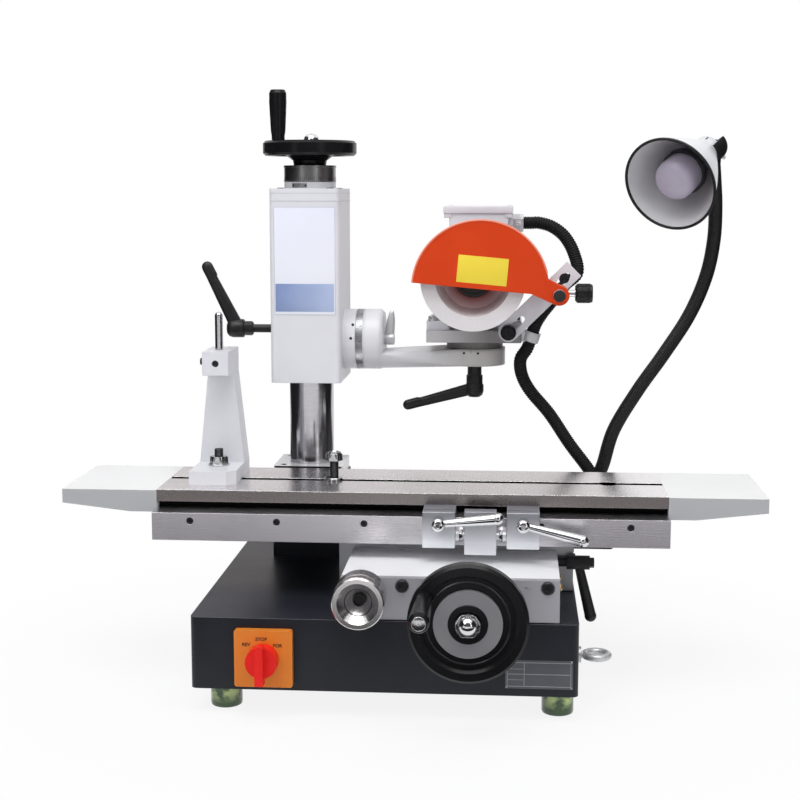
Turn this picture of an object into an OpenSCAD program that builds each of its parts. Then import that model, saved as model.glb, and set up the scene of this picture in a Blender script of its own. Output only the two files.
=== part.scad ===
// Bench tool and cutter grinder: base, cross slide, long table, column head, swivelling wheel head and lamp.
// Millimetres, +Z up, standing on Z = 0, X along the table, Y away from the operator.

/* [Fits] */
// Clearance of sliding and running fits
fit = 0.05; // [0.02:0.01:0.1]
// Gap between pieces that pass each other
gap = 0.3; // [0.2:0.05:0.6]

/* [Base] */
// Width of the base casing
base_w = 418; // [400:1:460]
// Depth of the base casing
base_d = 380; // [370:1:420]
// Height of the base casing
base_h = 79.5; // [70:0.5:110]
// Wall of the base casing
base_wall = 9; // [5:0.5:14]
// Corner radius of the base casing
base_corner_r = 7; // [3:0.5:12]
// Middle of the base, along the table
base_x = -21; // [-30:1:-10]
// Front face of the base
base_front_y = -127; // [-140:1:-127]
// Height of a levelling foot
foot_h = 27.5; // [15:0.5:40]
// Radius of a levelling foot
foot_r = 17.5; // [12:0.5:22]
// Thickness of the bottom plate
bottom_t = 3; // [2:0.5:6]

/* [Slides] */
// Forward travel of the cross slide
cross_front = 100; // [60:5:120]
// Backward travel of the cross slide
cross_back = 15; // [5:1:15]
// Travel of the table to each side
table_travel = 150; // [100:5:160]
// Height of the dovetail way on the base
way_h = 15; // [12:0.5:18]
// Half width of that way at its top
way_half = 58; // [54:1:64]
// Undercut of a dovetail flank
dovetail_cut = 9; // [6:0.5:12]
// Height of the dovetail way on the saddle
table_way_h = 19; // [16:0.5:22]
// Half width of the table way at its top
table_way_half = 38; // [32:1:42]

/* [Saddle] */
// Width of the saddle casting
saddle_w = 269; // [250:1:280]
// Depth of the saddle casting
saddle_d = 125; // [120:1:130]
// Height of the saddle casting
saddle_h = 56; // [52:1:60]
// Middle of the saddle, along the table
saddle_x = 51.5; // [45:0.5:60]
// Width of the white apron
apron_w = 233; // [210:1:240]
// Depth of the white apron
apron_d = 125; // [120:1:130]
// Height of the apron's top over the base
apron_h = 46; // [42:1:48]
// Wall of the apron
apron_wall = 8; // [4:0.5:10]
// Thickness of the front screw plate
plate_t = 8; // [6:0.5:12]

/* [Table] */
// Length of the table
table_l = 580; // [540:5:640]
// Depth of the table top
table_d = 145; // [140:1:150]
// Height of the table top over the beam
table_h = 21.5; // [20:0.5:26]
// Place of the table's front edge
table_front_y = -17; // [-20:0.5:-14]
// Depth of the ledge in front of the table top
ledge_d = 25; // [20:0.5:27]
// Height of the beam
beam_h = 31.5; // [29:0.5:36]
// Height of the beam over the saddle
table_lift = 7; // [6.6:0.1:8]
// Width of the T-slot's neck
slot_w = 12; // [10:0.5:14]
// Width of the T-slot's foot
slot_foot_w = 20; // [18:0.5:24]
// Height of the T-slot's foot
slot_foot_h = 8; // [7:0.5:9]
// Height of the T-slot's neck
slot_neck_h = 9.5; // [8:0.5:11]
// Height of the groove in the table's front
groove_h = 8; // [7:0.5:9]
// Depth of the groove in the table's front
groove_d = 12; // [10:0.5:16]
// Length of an end wing
wing_l = 110; // [80:1:130]
// Height of a wing at its outer end
wing_tip_h = 16; // [12:0.5:20]
// Height of a wing at the table
wing_root_h = 25; // [20:0.5:30]
// Sheet of a wing
wing_t = 3; // [2:0.5:5]

/* [Column and head] */
// Radius of the column
column_r = 28; // [25:0.5:30]
// Wall of the column
column_wall = 8; // [6:0.5:10]
// Column axis, along the table
column_x = -139; // [-145:1:-130]
// Side of the column pedestal
pedestal_s = 90; // [84:1:90]
// Height of the column pedestal
pedestal_h = 100; // [90:1:105]
// Side of the column plate
column_plate_s = 86; // [78:1:88]
// Thickness of the column plate
column_plate_t = 15; // [10:0.5:20]
// Height of the column over its pedestal
column_h = 277; // [260:1:290]
// Width of the head housing
head_w = 86; // [78:1:94]
// Depth of the head housing
head_d = 120; // [110:1:126]
// Height of the head housing
head_h = 222; // [215:1:230]
// Height of the housing's underside over the column plate, at rest
head_lift = 106; // [100:1:112]
// Downward travel of the head
head_down = 50; // [30:1:50]
// Upward travel of the head
head_up = 90; // [60:1:95]
// Thickness of the head cap
cap_t = 15; // [10:0.5:20]

/* [Arm] */
// Radius of the tilt boss
boss_r = 37.5; // [34:0.5:40]
// Length of the tilt boss
boss_l = 16; // [12:1:24]
// Length of the tilt dial
dial_l = 9; // [6:0.5:12]
// Length of the arm's flange
flange_l = 25; // [20:0.5:30]
// Reach of the arm from its flange to the swivel axis
arm_reach = 113; // [108:1:120]
// Height of the tilt axis over the head's underside
tilt_lift = 50; // [46:1:60]
// Radius of the arm's end pad
pad_r = 38; // [36:0.5:42]
// Thickness of the arm's end pad
pad_t = 21; // [20:0.5:28]

/* [Wheel head] */
// Width of the motor base plate
swivel_w = 116; // [112:1:124]
// Depth of the motor base plate
swivel_d = 128; // [122:1:132]
// Thickness of the motor base plate
swivel_t = 14.5; // [12:0.5:22]
// Height of the graduated disc
disc_h = 10; // [6:0.5:12]
// Radius of the graduated disc
disc_r = 35; // [33:0.5:38]
// Height of the spindle over the motor base
axis_h = 66; // [63:0.5:70]
// Radius of the motor body
motor_r = 56; // [52:0.5:58]
// Length of the motor body
motor_l = 102; // [90:1:110]
// Diameter of the grinding wheel
wheel_dia = 125; // [100:1:127]
// Width of the grinding wheel
wheel_w = 45; // [35:1:48]
// Overhang of the wheel's rim from the swivel axis
wheel_overhang = 100; // [96:1:104]
// Radius of the wheel guard
guard_r = 80.5; // [78:0.5:84]
// Width of the wheel guard
guard_w = 52; // [46:0.5:52]
// Sheet of the wheel guard
guard_t = 2.5; // [1.5:0.5:4]

/* [Lamp] */
// Radius of the lamp shade's rim
shade_r = 56.5; // [48:0.5:60]
// Length of the lamp shade
shade_l = 129; // [120:1:135]
// Wall of the lamp shade
shade_t = 1.6; // [1:0.1:3]
// Radius of the bulb
bulb_r = 24.5; // [20:0.5:30]
// Radius of the gooseneck
neck_r = 7.5; // [6:0.5:9]

/* [Handwheels] */
// Radius of the cross handwheel
cross_wheel_r = 62.5; // [50:0.5:70]
// Rim width of a handwheel
rim_w = 18; // [14:0.5:20]
// Radius of the elevating handwheel
lift_wheel_r = 58; // [50:0.5:64]
// Radius of the cross screw
cross_screw_r = 8; // [6:0.5:8.5]
// Radius of the elevating screw
lift_screw_r = 9; // [7:0.5:10]
// Radius of the table knob
knob_r = 27.5; // [22:0.5:30]
// Length of the table knob
knob_l = 50; // [40:1:60]
// Teeth of the rack pinion
pinion_teeth = 20; // [18:1:20]
// Module of the rack and pinion
gear_m = 2; // [1.8:0.1:2]

/* [Hidden] */
$fn = 64;
overrun = 1;

// Heights of the stack, from the floor up
base_top_z = foot_h + base_h;
slide_run = 1;
saddle_z = base_top_z + slide_run;
saddle_top_z = saddle_z + saddle_h;
beam_z = saddle_top_z + table_lift;
beam_top_z = beam_z + beam_h;
table_top_z = beam_top_z + table_h;
apron_top_z = saddle_z + apron_h;
pedestal_top_z = base_top_z + pedestal_h;
column_top_z = pedestal_top_z + column_h;
head_z = pedestal_top_z + column_plate_t + head_lift;
head_top_z = head_z + head_h + cap_t;
tilt_z = head_z + tilt_lift;

// Places along Y
base_y = base_front_y + base_d / 2;
table_back_y = table_front_y + table_d;
slot_y = table_front_y + table_d / 2;
beam_front_y = table_front_y - ledge_d;
beam_back_step = 5;
beam_back_y = table_back_y - beam_back_step;
wing_over = 5;
back_clear = 2;
column_y = table_back_y + wing_over + cross_back + back_clear + pedestal_s / 2;
saddle_front_y = table_front_y + ledge_d;
saddle_back_y = saddle_front_y + saddle_d;
apron_front_y = saddle_front_y - apron_d;
plate_front_y = apron_front_y - plate_t;

// Places along X
head_right_x = column_x + head_w / 2;
boss_x = head_right_x + boss_l;
flange_x = boss_x + dial_l;
flange_end_x = flange_x + flange_l;
swivel_x = flange_end_x + arm_reach;

// Shared helpers
module slab_y(y, length) { translate([0, y + length, 0]) rotate([90, 0, 0]) linear_extrude(length)
    children(); }
module slab_x(x, length) { translate([x, 0, 0]) rotate([90, 0, 90]) linear_extrude(length) children(); }
module rod_x(x, length, r) { translate([x, 0, 0]) rotate([0, 90, 0]) cylinder(h = length, r = r); }
module rod_y(y, length, r) { translate([0, y, 0]) rotate([-90, 0, 0]) cylinder(h = length, r = r); }
module lathe_x() { rotate([0, 90, 0]) rotate_extrude() children(); }
module lathe_y() { rotate([-90, 0, 0]) rotate_extrude() children(); }
module block(x0, x1, y0, y1, z0, z1) { translate([x0, y0, z0]) cube([x1 - x0, y1 - y0, z1 - z0]); }
module hex_prism(r, h) { cylinder(h = h, r = r, $fn = 6); }

// Rectangle with round corners about the origin
module round_rect(w, d, r) {
    square([w - 2 * r, d], center = true);
    square([w, d - 2 * r], center = true);
    for (sx = [-1, 1], sy = [-1, 1])
        translate([sx * (w / 2 - r), sy * (d / 2 - r)]) circle(r);
}

// Round bar from point a to point b, ra thick at a and rb at b
module bar(a, b, ra, rb) {
    v = b - a;
    l = norm(v);
    translate(a) rotate([0, acos(v[2] / l), atan2(v[1], v[0])]) cylinder(h = l, r1 = ra, r2 = rb);
}

// Dovetail section: z upward, wider at the top
module dovetail(half_top, cut, h, clear) {
    polygon([
        [-(half_top - cut) - clear, 0], [half_top - cut + clear, 0],
        [half_top + clear, h + clear], [-half_top - clear, h + clear]]);
}

// Base casing with its cast cross way
inner_corner_share = 0.7;
inner_corner_r = base_corner_r * inner_corner_share;
way_front_clear = 3;
way_front_inset = apron_front_y - base_front_y + cross_back + way_front_clear;
way_back_inset = 56;
way_l = base_d - way_back_inset - way_front_inset;
cross_x = 72;
cross_lift = 17;
cross_z = saddle_z + cross_lift;
channel_half = 15;
channel_floor = 1;
switch_x = -149;
switch_drop = 2.75;
switch_z = foot_h + base_h / 2 - switch_drop;
switch_shaft_r = 6;
module base_casing() color([0.16, 0.18, 0.22]) difference() {
    union() {
        translate([base_x, base_y, foot_h]) linear_extrude(base_h) round_rect(base_w, base_d,
            base_corner_r);
        translate([saddle_x, 0, base_top_z - overrun])
            slab_y(base_front_y + way_front_inset, way_l)
                union() {
                    translate([0, overrun]) dovetail(way_half, dovetail_cut, way_h, 0);
                    translate([-(way_half - dovetail_cut), 0])
                        square([2 * (way_half - dovetail_cut), overrun + overrun]);
                }
    }
    translate([base_x, base_y, foot_h - overrun])
        linear_extrude(base_h - base_wall + overrun)
            round_rect(base_w - 2 * base_wall, base_d - 2 * base_wall, inner_corner_r);
    block(cross_x - channel_half, cross_x + channel_half, base_front_y - overrun, base_front_y + base_d,
        base_top_z + channel_floor, base_top_z + way_h + overrun);
    translate([switch_x, 0, switch_z]) rod_y(base_front_y - overrun, base_wall + 2 * overrun,
        switch_shaft_r + gap);
}

module base_bottom_plate() color([0.2, 0.21, 0.24])
    translate([base_x, base_y, foot_h])
        linear_extrude(bottom_t)
            round_rect(base_w - 2 * base_wall, base_d - 2 * base_wall, inner_corner_r);

// Feet: moulded discs with a rounded lower edge, screwed to the bottom plate
foot_inset = 33;
right_foot_inset = 21;
foot_profile_shares = [[0, 0], [0.9, 0], [0.97, 0.03], [1, 0.1], [1, 1], [0, 1]];
module levelling_feet() color([0.25, 0.72, 0.22])
    for (x = [base_x - base_w / 2 + foot_inset, base_x + base_w / 2 - right_foot_inset], sy = [-1, 1])
        translate([x, base_y + sy * (base_d / 2 - foot_inset), 0])
            rotate_extrude() polygon([for (p = foot_profile_shares) [p[0] * foot_r, p[1] * foot_h]]);

// Column group
pedestal_corner_r = 6;
plate_corner_r = 4;
module column_pedestal() color([0.17, 0.19, 0.23])
    translate([column_x, column_y, base_top_z]) linear_extrude(pedestal_h) round_rect(pedestal_s,
        pedestal_s, pedestal_corner_r);

plate_bolt_r = 4.5;
plate_bolt_inset = 11;
module column_plate() color([0.9, 0.9, 0.91])
    translate([column_x, column_y, pedestal_top_z]) difference() {
        linear_extrude(column_plate_t) round_rect(column_plate_s, column_plate_s, plate_corner_r);
        translate([0, 0, -overrun]) cylinder(h = column_plate_t + 2 * overrun, r = column_r + fit);
        for (sx = [-1, 1], sy = [-1, 1])
            translate([sx * (column_plate_s / 2 - plate_bolt_inset),
                sy * (column_plate_s / 2 - plate_bolt_inset),
                column_plate_t - plate_bolt_r])
                cylinder(h = plate_bolt_r + overrun, r = plate_bolt_r);
    }

module column() color([0.72, 0.73, 0.75])
    translate([column_x, column_y, pedestal_top_z]) difference() {
        cylinder(h = column_h, r = column_r);
        translate([0, 0, -overrun]) cylinder(h = column_h + 2 * overrun, r = column_r - column_wall);
    }

// Bronze nuts: the elevating nut in the column's mouth, the cross nut on the base
lift_nut_l = 40;
lift_nut_flange = 6;
cross_nut_in = 197;
cross_nut_y = base_front_y + cross_nut_in;
cross_nut_l = 25;
cross_nut_half = 13;
cross_nut_top = 14;
module feed_nuts() color([0.72, 0.55, 0.28]) {
    translate([column_x, column_y, column_top_z]) difference() {
        union() {
            translate([0, 0, -lift_nut_l]) cylinder(h = lift_nut_l + lift_nut_flange,
                r = column_r - column_wall - fit);
            cylinder(h = lift_nut_flange, r = column_r - overrun);
        }
        translate([0, 0, -lift_nut_l - overrun])
            cylinder(h = lift_nut_l + lift_nut_flange + 2 * overrun, r = lift_screw_r + fit);
    }
    difference() {
        block(cross_x - cross_nut_half, cross_x + cross_nut_half, cross_nut_y, cross_nut_y + cross_nut_l,
            base_top_z + channel_floor, cross_z + cross_nut_top);
        translate([cross_x, 0, cross_z]) rod_y(cross_nut_y - overrun, cross_nut_l + 2 * overrun,
            cross_screw_r + fit);
    }
}

// Rotary switch
switch_s = 63;
switch_t = 8;
switch_corner_r = 3;
switch_body_s = 46;
switch_body_l = 45;
switch_knob_r = 17;
switch_knob_l = 16;
switch_grip_w = 9;
switch_grip_l = 14;
switch_grip_reach = 22;
switch_grip_low = 21;
module switch_plate() color([0.93, 0.5, 0.1]) {
    difference() {
        translate([switch_x, 0, switch_z]) slab_y(base_front_y - switch_t, switch_t) round_rect(switch_s,
            switch_s, switch_corner_r);
        translate([switch_x, 0, switch_z]) rod_y(base_front_y - switch_t - overrun,
            switch_t + 2 * overrun, switch_shaft_r + gap);
    }
    difference() {
        translate([switch_x, 0, switch_z])
            slab_y(base_front_y + base_wall, switch_body_l) round_rect(switch_body_s, switch_body_s,
                switch_corner_r);
        translate([switch_x, 0, switch_z]) rod_y(base_front_y, base_wall + switch_knob_l,
            switch_shaft_r + gap);
    }
}
module switch_knob() color([0.82, 0.1, 0.08]) translate([switch_x, 0, switch_z]) {
    face_y = base_front_y - switch_t - gap;
    rod_y(face_y - switch_knob_l, switch_knob_l, switch_knob_r);
    slab_y(face_y - switch_knob_l - switch_grip_l, switch_grip_l) union() {
        translate([-switch_grip_w / 2, -switch_grip_low]) square([switch_grip_w,
            switch_grip_low + switch_grip_reach - switch_grip_w / 2]);
        translate([0, switch_grip_reach - switch_grip_w / 2]) circle(switch_grip_w / 2);
    }
    rod_y(face_y - overrun, switch_t + base_wall + overrun, switch_shaft_r);
}

// Lifting eye on the right side of the base
eye_y = -47;
eye_z = 50;
eye_r = 13;
eye_wire_r = 4;
eye_collar_r = 9;
eye_collar_l = 6;
base_right_x = base_x + base_w / 2;
module eye_bolt() color([0.7, 0.7, 0.7]) translate([0, eye_y, eye_z]) {
    rod_x(base_right_x, eye_collar_l, eye_collar_r);
    rod_x(base_right_x + eye_collar_l - overrun, 2 * overrun + eye_wire_r, eye_wire_r);
    translate([base_right_x + eye_collar_l + eye_r + eye_wire_r, 0, 0])
        rotate_extrude() translate([eye_r, 0]) circle(eye_wire_r);
}

// Junction box behind the table, on its angle bracket
box_x = base_right_x;
box_w = 54;
box_clear = 24;
box_y = saddle_back_y + cross_back + box_clear;
box_d = 66;
box_lift = 11;
box_z = base_top_z + box_lift;
box_h = 32;
bracket_t = 5;
bracket_foot = 62;
conduit_r = 7.9;
gland_r = 11;
gland_h = 14;
gland_in = [39, 17];
socket_in = [28, 41];
socket_r = 11;
socket_h = 20;
box_top_z = box_z + box_h;
lower_end = [box_x + gland_in[0], box_y + gland_in[1], box_top_z + gland_h];
neck_foot = [box_x + socket_in[0], box_y + socket_in[1], box_top_z];
module junction_box() color([0.13, 0.13, 0.14]) {
    block(box_x - bracket_foot, box_x, box_y, box_y + box_d, base_top_z, base_top_z + bracket_t);
    block(box_x - bracket_t, box_x, box_y, box_y + box_d, base_top_z, box_top_z);
    translate([box_x + box_w / 2, box_y + box_d / 2, box_z]) linear_extrude(box_h) round_rect(box_w,
        box_d, bracket_t);
    translate([lower_end[0], lower_end[1], box_top_z]) hex_prism(gland_r, gland_h);
    translate([neck_foot[0], neck_foot[1], box_top_z]) difference() {
        cylinder(h = socket_h, r = socket_r);
        translate([0, 0, overrun]) cylinder(h = socket_h, r = neck_r + fit);
    }
}

// Swept tubes: rings of points square to the route
function unit(v) = v / norm(v);
function route_dir(p, i) = unit(p[min(i + 1, len(p) - 1)] - p[max(i - 1, 0)]);
function side_of(t) = unit(cross(t, abs(t[1]) < 0.8 ? [0, 1, 0] : [1, 0, 0]));
function ring(c, t, r, sides) =
    let (u = side_of(t), v = cross(t, u))
    [for (k = [0 : sides - 1]) c + r * (cos(360 * k / sides) * u + sin(360 * k / sides) * v)];
// Catmull-Rom point between p[i] and p[i + 1]
function smooth_point(p, i, s) =
    let (a = p[max(i - 1, 0)], b = p[i], c = p[i + 1], d = p[min(i + 2, len(p) - 1)])
    0.5 * (2 * b + (c - a) * s + (2 * a - 5 * b + 4 * c - d) * s * s + (3 * b - a - 3 * c + d) * s * s * s);
function smooth_route(p, steps) = concat(
    [for (i = [0 : len(p) - 2], k = [0 : steps - 1]) smooth_point(p, i, k / steps)], [p[len(p) - 1]]);

// Solid tube through the route's points
module tube(path, r, sides) {
    n = len(path);
    pts = [for (i = [0 : n - 1]) each ring(path[i], route_dir(path, i), r, sides)];
    faces = concat(
        [[for (k = [0 : sides - 1]) k]],
        [for (i = [0 : n - 2], k = [0 : sides - 1])
            let (a = i * sides + k, b = i * sides + (k + 1) % sides) each [[a, a + sides, b], [b,
                a + sides, b + sides]]],
        [[for (k = [0 : sides - 1]) n * sides - 1 - k]]);
    polyhedron(points = pts, faces = faces);
}

// Ribbed hose: the radius alternates from ring to ring outside, and a plain bore runs through
module ribbed_hose(path, r_out, r_root, r_bore, sides) {
    n = len(path);
    outer = [for (i = [0 : n - 1]) each ring(path[i], route_dir(path, i), i % 2 == 0 ? r_root : r_out,
        sides)];
    inner = [for (i = [0 : n - 1]) each ring(path[i], route_dir(path, i), r_bore, sides)];
    m = n * sides;
    walls = [for (i = [0 : n - 2], k = [0 : sides - 1])
        let (a = i * sides + k, b = i * sides + (k + 1) % sides)
        each [[a, a + sides, b], [b, a + sides, b + sides], [m + a, m + b, m + a + sides], [m + b,
            m + b + sides, m + a + sides]]];
    ends = [for (k = [0 : sides - 1])
        let (b = (k + 1) % sides, e = (n - 1) * sides)
        each [[k, b, m + k], [b, m + b, m + k], [e + k, m + e + k, e + b], [e + b, m + e + k, m + e + b]]];
    polyhedron(points = concat(outer, inner), faces = concat(walls, ends));
}

conduit_root_r = 6.6;
conduit_bore_r = 5.2;
hose_sides = 8;
upper_steps = 8;
lower_steps = 8;
gland_len = 29;
clip_off = [12, 11.5, 7.5];
clip_split = 2;
box_gland_lift = 4.5;
clip_dir = [-5, 1, -15];
upper_from_gland = [
    [0, 0, 0], [10, 0, 0], [20, 0, 0], [36, -2, -5], [51, -8, -17], [62, -16, -37], [66, -24, -60]];
upper_from_clip = [[39, 11, 61], [25, 6, 43], [13, 2, 28]];
lower_from_clip = [[-13, 4, -29], [-11, 12, -49], [0, 18, -70], [24, 24, -99]];
lower_from_box = [[-41, -8, 86], [-17, -4, 54], [-4, -1, 32], [0, 0, 16], [0, 0, 8], [0, 0, 0]];
function gland_point() = [swivel_x + term_w / 2 + gland_len, column_y, term_z + box_gland_lift];
function clip_point() = [swivel_x + swivel_w / 2, swivel_y0, swivel_z] + clip_off;
function upper_route() = concat(
    [for (p = upper_from_gland) gland_point() + p], [for (p = upper_from_clip) clip_point() + p],
    [clip_point() - clip_dir, clip_point()]);
function lower_route() = concat(
    [clip_point() + clip_split * unit(clip_dir), clip_point() + clip_dir],
    [for (p = lower_from_clip) clip_point() + p],
    [for (p = lower_from_box) lower_end + p]);
module conduit_upper() color([0.1, 0.1, 0.11])
    ribbed_hose(smooth_route(upper_route(), upper_steps), conduit_r, conduit_root_r, conduit_bore_r,
        hose_sides);
module conduit_lower() color([0.1, 0.1, 0.11])
    ribbed_hose(smooth_route(lower_route(), lower_steps), conduit_r, conduit_root_r, conduit_bore_r,
        hose_sides);

// Saddle casting between the base way and the table way
knob_x = -43;
pinion_lift = 30;
pinion_z = saddle_z + pinion_lift;
shaft_r = 8;
rack_w = 14;
pinion_clear = 2;
pinion_y = beam_back_y - rack_w;
pinion_pr = gear_m * pinion_teeth / 2;
rack_z = pinion_z + pinion_pr;
rear_step_z = rack_z - gear_m - pinion_clear;
table_way_y = pinion_y - pinion_clear - pinion_clear - table_way_half;
saddle_x0 = saddle_x - saddle_w / 2;
module saddle() color([0.6, 0.61, 0.63]) difference() {
    union() {
        block(saddle_x0, saddle_x0 + saddle_w, saddle_front_y, pinion_y - pinion_clear, saddle_z,
            saddle_top_z);
        block(saddle_x0, saddle_x0 + saddle_w, saddle_front_y, saddle_back_y, saddle_z, rear_step_z);
        translate([0, table_way_y, saddle_top_z])
            slab_x(saddle_x0, saddle_w) dovetail(table_way_half, dovetail_cut, table_way_h, 0);
    }
    translate([saddle_x, 0, base_top_z])
        slab_y(saddle_front_y - overrun, saddle_d + 2 * overrun) dovetail(way_half, dovetail_cut, way_h,
            fit);
    block(cross_x - channel_half - pinion_clear, cross_x + channel_half + pinion_clear,
        saddle_front_y - overrun, saddle_back_y + overrun, saddle_z,
            cross_z + cross_nut_top + pinion_clear);
    translate([knob_x, 0, pinion_z]) {
        rod_y(saddle_front_y - overrun, saddle_d, shaft_r + fit);
        rod_y(pinion_y - pinion_clear, rack_w + 2 * pinion_clear, pinion_pr + gear_m + pinion_clear);
    }
}

// White apron: top and side walls in front of the saddle
apron_x0 = saddle_x - apron_w / 2 - slide_run;
lock_in = 11;
lock_lift = 36;
lock_y = saddle_front_y - lock_in;
lock_z = saddle_z + lock_lift;
lock_stud_r = 5;
module saddle_apron() color([0.92, 0.92, 0.93]) difference() {
    block(apron_x0, apron_x0 + apron_w, apron_front_y, saddle_front_y, saddle_z, apron_top_z);
    block(apron_x0 + apron_wall, apron_x0 + apron_w - apron_wall, apron_front_y - overrun,
        saddle_front_y + overrun,
        saddle_z - overrun, apron_top_z - apron_wall);
    translate([0, lock_y, lock_z]) rod_x(apron_x0 + apron_w - apron_wall - overrun,
        apron_wall + 2 * overrun, lock_stud_r + fit);
}

module screw_plate() color([0.66, 0.67, 0.69]) difference() {
    block(apron_x0, apron_x0 + apron_w, plate_front_y, apron_front_y, saddle_z, apron_top_z);
    translate([cross_x, 0, cross_z]) rod_y(plate_front_y - overrun, plate_t + 2 * overrun,
        cross_screw_r + fit);
    translate([knob_x, 0, pinion_z]) rod_y(plate_front_y - overrun, plate_t + 2 * overrun, shaft_r + fit);
}

// Stop post: foot on the saddle, upright in front of the beam, two stop screws
stop_w = 35;
stop_x = 81;
stop_t = 16;
stop_foot_t = 6;
stop_foot_l = 24;
stop_top = 10;
stop_front_y = beam_front_y - gap - stop_t;
stop_screw_r = 4;
stop_screw_head_r = 6;
stop_screw_head_l = 4;
stop_screw_lift = 13;
stop_screw_z = beam_z + stop_screw_lift;
dog_w = 36;
dog_gap = 0.4;
left_dog_x = 35;
right_dog_x = 128;
stop_reach_l = left_dog_x + dog_w / 2 + dog_gap;
stop_reach_r = right_dog_x - dog_w / 2 - dog_gap;
module stop_post() color([0.7, 0.71, 0.72]) {
    translate([stop_x, 0, 0]) slab_x(-stop_w / 2, stop_w) polygon([
        [saddle_front_y + stop_foot_l, saddle_top_z], [saddle_front_y + stop_foot_l,
            saddle_top_z + stop_foot_t],
        [stop_front_y + stop_t, saddle_top_z + stop_foot_t], [stop_front_y + stop_t, beam_top_z + stop_top],
        [stop_front_y, beam_top_z + stop_top], [stop_front_y, saddle_top_z]]);
    translate([0, stop_front_y + stop_t / 2, stop_screw_z]) {
        rod_x(stop_reach_l, stop_reach_r - stop_reach_l, stop_screw_r);
        rod_x(stop_reach_l, stop_screw_head_l, stop_screw_head_r);
        rod_x(stop_reach_r - stop_screw_head_l, stop_screw_head_l, stop_screw_head_r);
    }
}

// Table top with T-slot and the groove in its front edge
slot_entry_x = 227;
module table_top() color([0.66, 0.66, 0.67]) difference() {
    slab_x(-table_l / 2, table_l) polygon([
        [table_front_y, table_top_z], [table_back_y, table_top_z], [table_back_y, beam_top_z],
        [table_front_y + groove_d, beam_top_z], [table_front_y + groove_d, beam_top_z + groove_h],
        [table_front_y, beam_top_z + groove_h]]);
    block(-table_l / 2 - overrun, table_l / 2 + overrun, slot_y - slot_w / 2, slot_y + slot_w / 2,
        table_top_z - slot_neck_h - overrun, table_top_z + overrun);
    block(-table_l / 2 - overrun, table_l / 2 + overrun, slot_y - slot_foot_w / 2, slot_y + slot_foot_w / 2,
        table_top_z - slot_neck_h - slot_foot_h, table_top_z - slot_neck_h);
    translate([slot_entry_x, slot_y, table_top_z - slot_neck_h - slot_foot_h])
        cylinder(h = slot_neck_h + slot_foot_h + overrun, r = slot_foot_w / 2 + overrun);
}

// Lower beam: dovetail groove below, counterbored front screws
beam_screw_count = 6;
beam_screw_pitch = 98.6;
beam_screw_r = 4;
beam_screw_deep = 6;
beam_screw_drop = 9;
module table_beam() color([0.74, 0.75, 0.77]) difference() {
    block(-table_l / 2, table_l / 2, beam_front_y, beam_back_y, beam_z, beam_top_z);
    translate([0, table_way_y, saddle_top_z])
        slab_x(-table_l / 2 - overrun, table_l + 2 * overrun) dovetail(table_way_half, dovetail_cut,
            table_way_h, fit);
    for (k = [0 : beam_screw_count - 1])
        translate([(k - (beam_screw_count - 1) / 2) * beam_screw_pitch, 0, beam_top_z - beam_screw_drop])
            rod_y(beam_front_y - overrun, beam_screw_deep + overrun, beam_screw_r);
}

// End wings: folded trays, deeper at the table than at the tip
wing_bend_share = 0.28;
wing_back_y = table_back_y + wing_over;
wing_drop = 1;
module wing_side(inset) {
    top = table_top_z - wing_drop;
    low = inset > 0 ? overrun : 0;
    polygon([
        [inset, top - inset], [wing_l - inset, top - inset], [wing_l - inset, top - wing_tip_h - low],
        [wing_bend_share * wing_l, top - wing_root_h - low], [inset, top - wing_root_h - low]]);
}
module wing() translate([table_l / 2, 0, 0]) difference() {
    slab_y(table_front_y, wing_back_y - table_front_y) wing_side(0);
    slab_y(table_front_y + wing_t, wing_back_y - table_front_y - 2 * wing_t) wing_side(wing_t);
}
module table_wings() color([0.93, 0.93, 0.92]) {
    wing();
    mirror([1, 0, 0]) wing();
}

// Rack under the beam and its pinion
gear_pitch = PI * gear_m;
gear_backlash = 0.3;
pressure_angle = 20;
root_share = 1.25;
rack_spare = 18;
rack_reach = table_travel + rack_spare;
rack_teeth = 2 * floor(rack_reach / gear_pitch);
module table_rack() color([0.5, 0.51, 0.53]) translate([knob_x, 0, 0]) slab_y(pinion_y, rack_w) union() {
    half_l = (rack_teeth + 1) * gear_pitch / 2;
    translate([-half_l, rack_z + root_share * gear_m]) square([2 * half_l,
        beam_z - rack_z - root_share * gear_m]);
    half_pitch = gear_pitch / 4 - gear_backlash / 2;
    slope = tan(pressure_angle);
    for (k = [-rack_teeth / 2 : rack_teeth / 2]) translate([k * gear_pitch, rack_z]) polygon([
        [-half_pitch + gear_m * slope, -gear_m], [half_pitch - gear_m * slope, -gear_m],
        [half_pitch + root_share * gear_m * slope, root_share * gear_m + gear_backlash],
        [-half_pitch - root_share * gear_m * slope, root_share * gear_m + gear_backlash]]);
}

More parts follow.
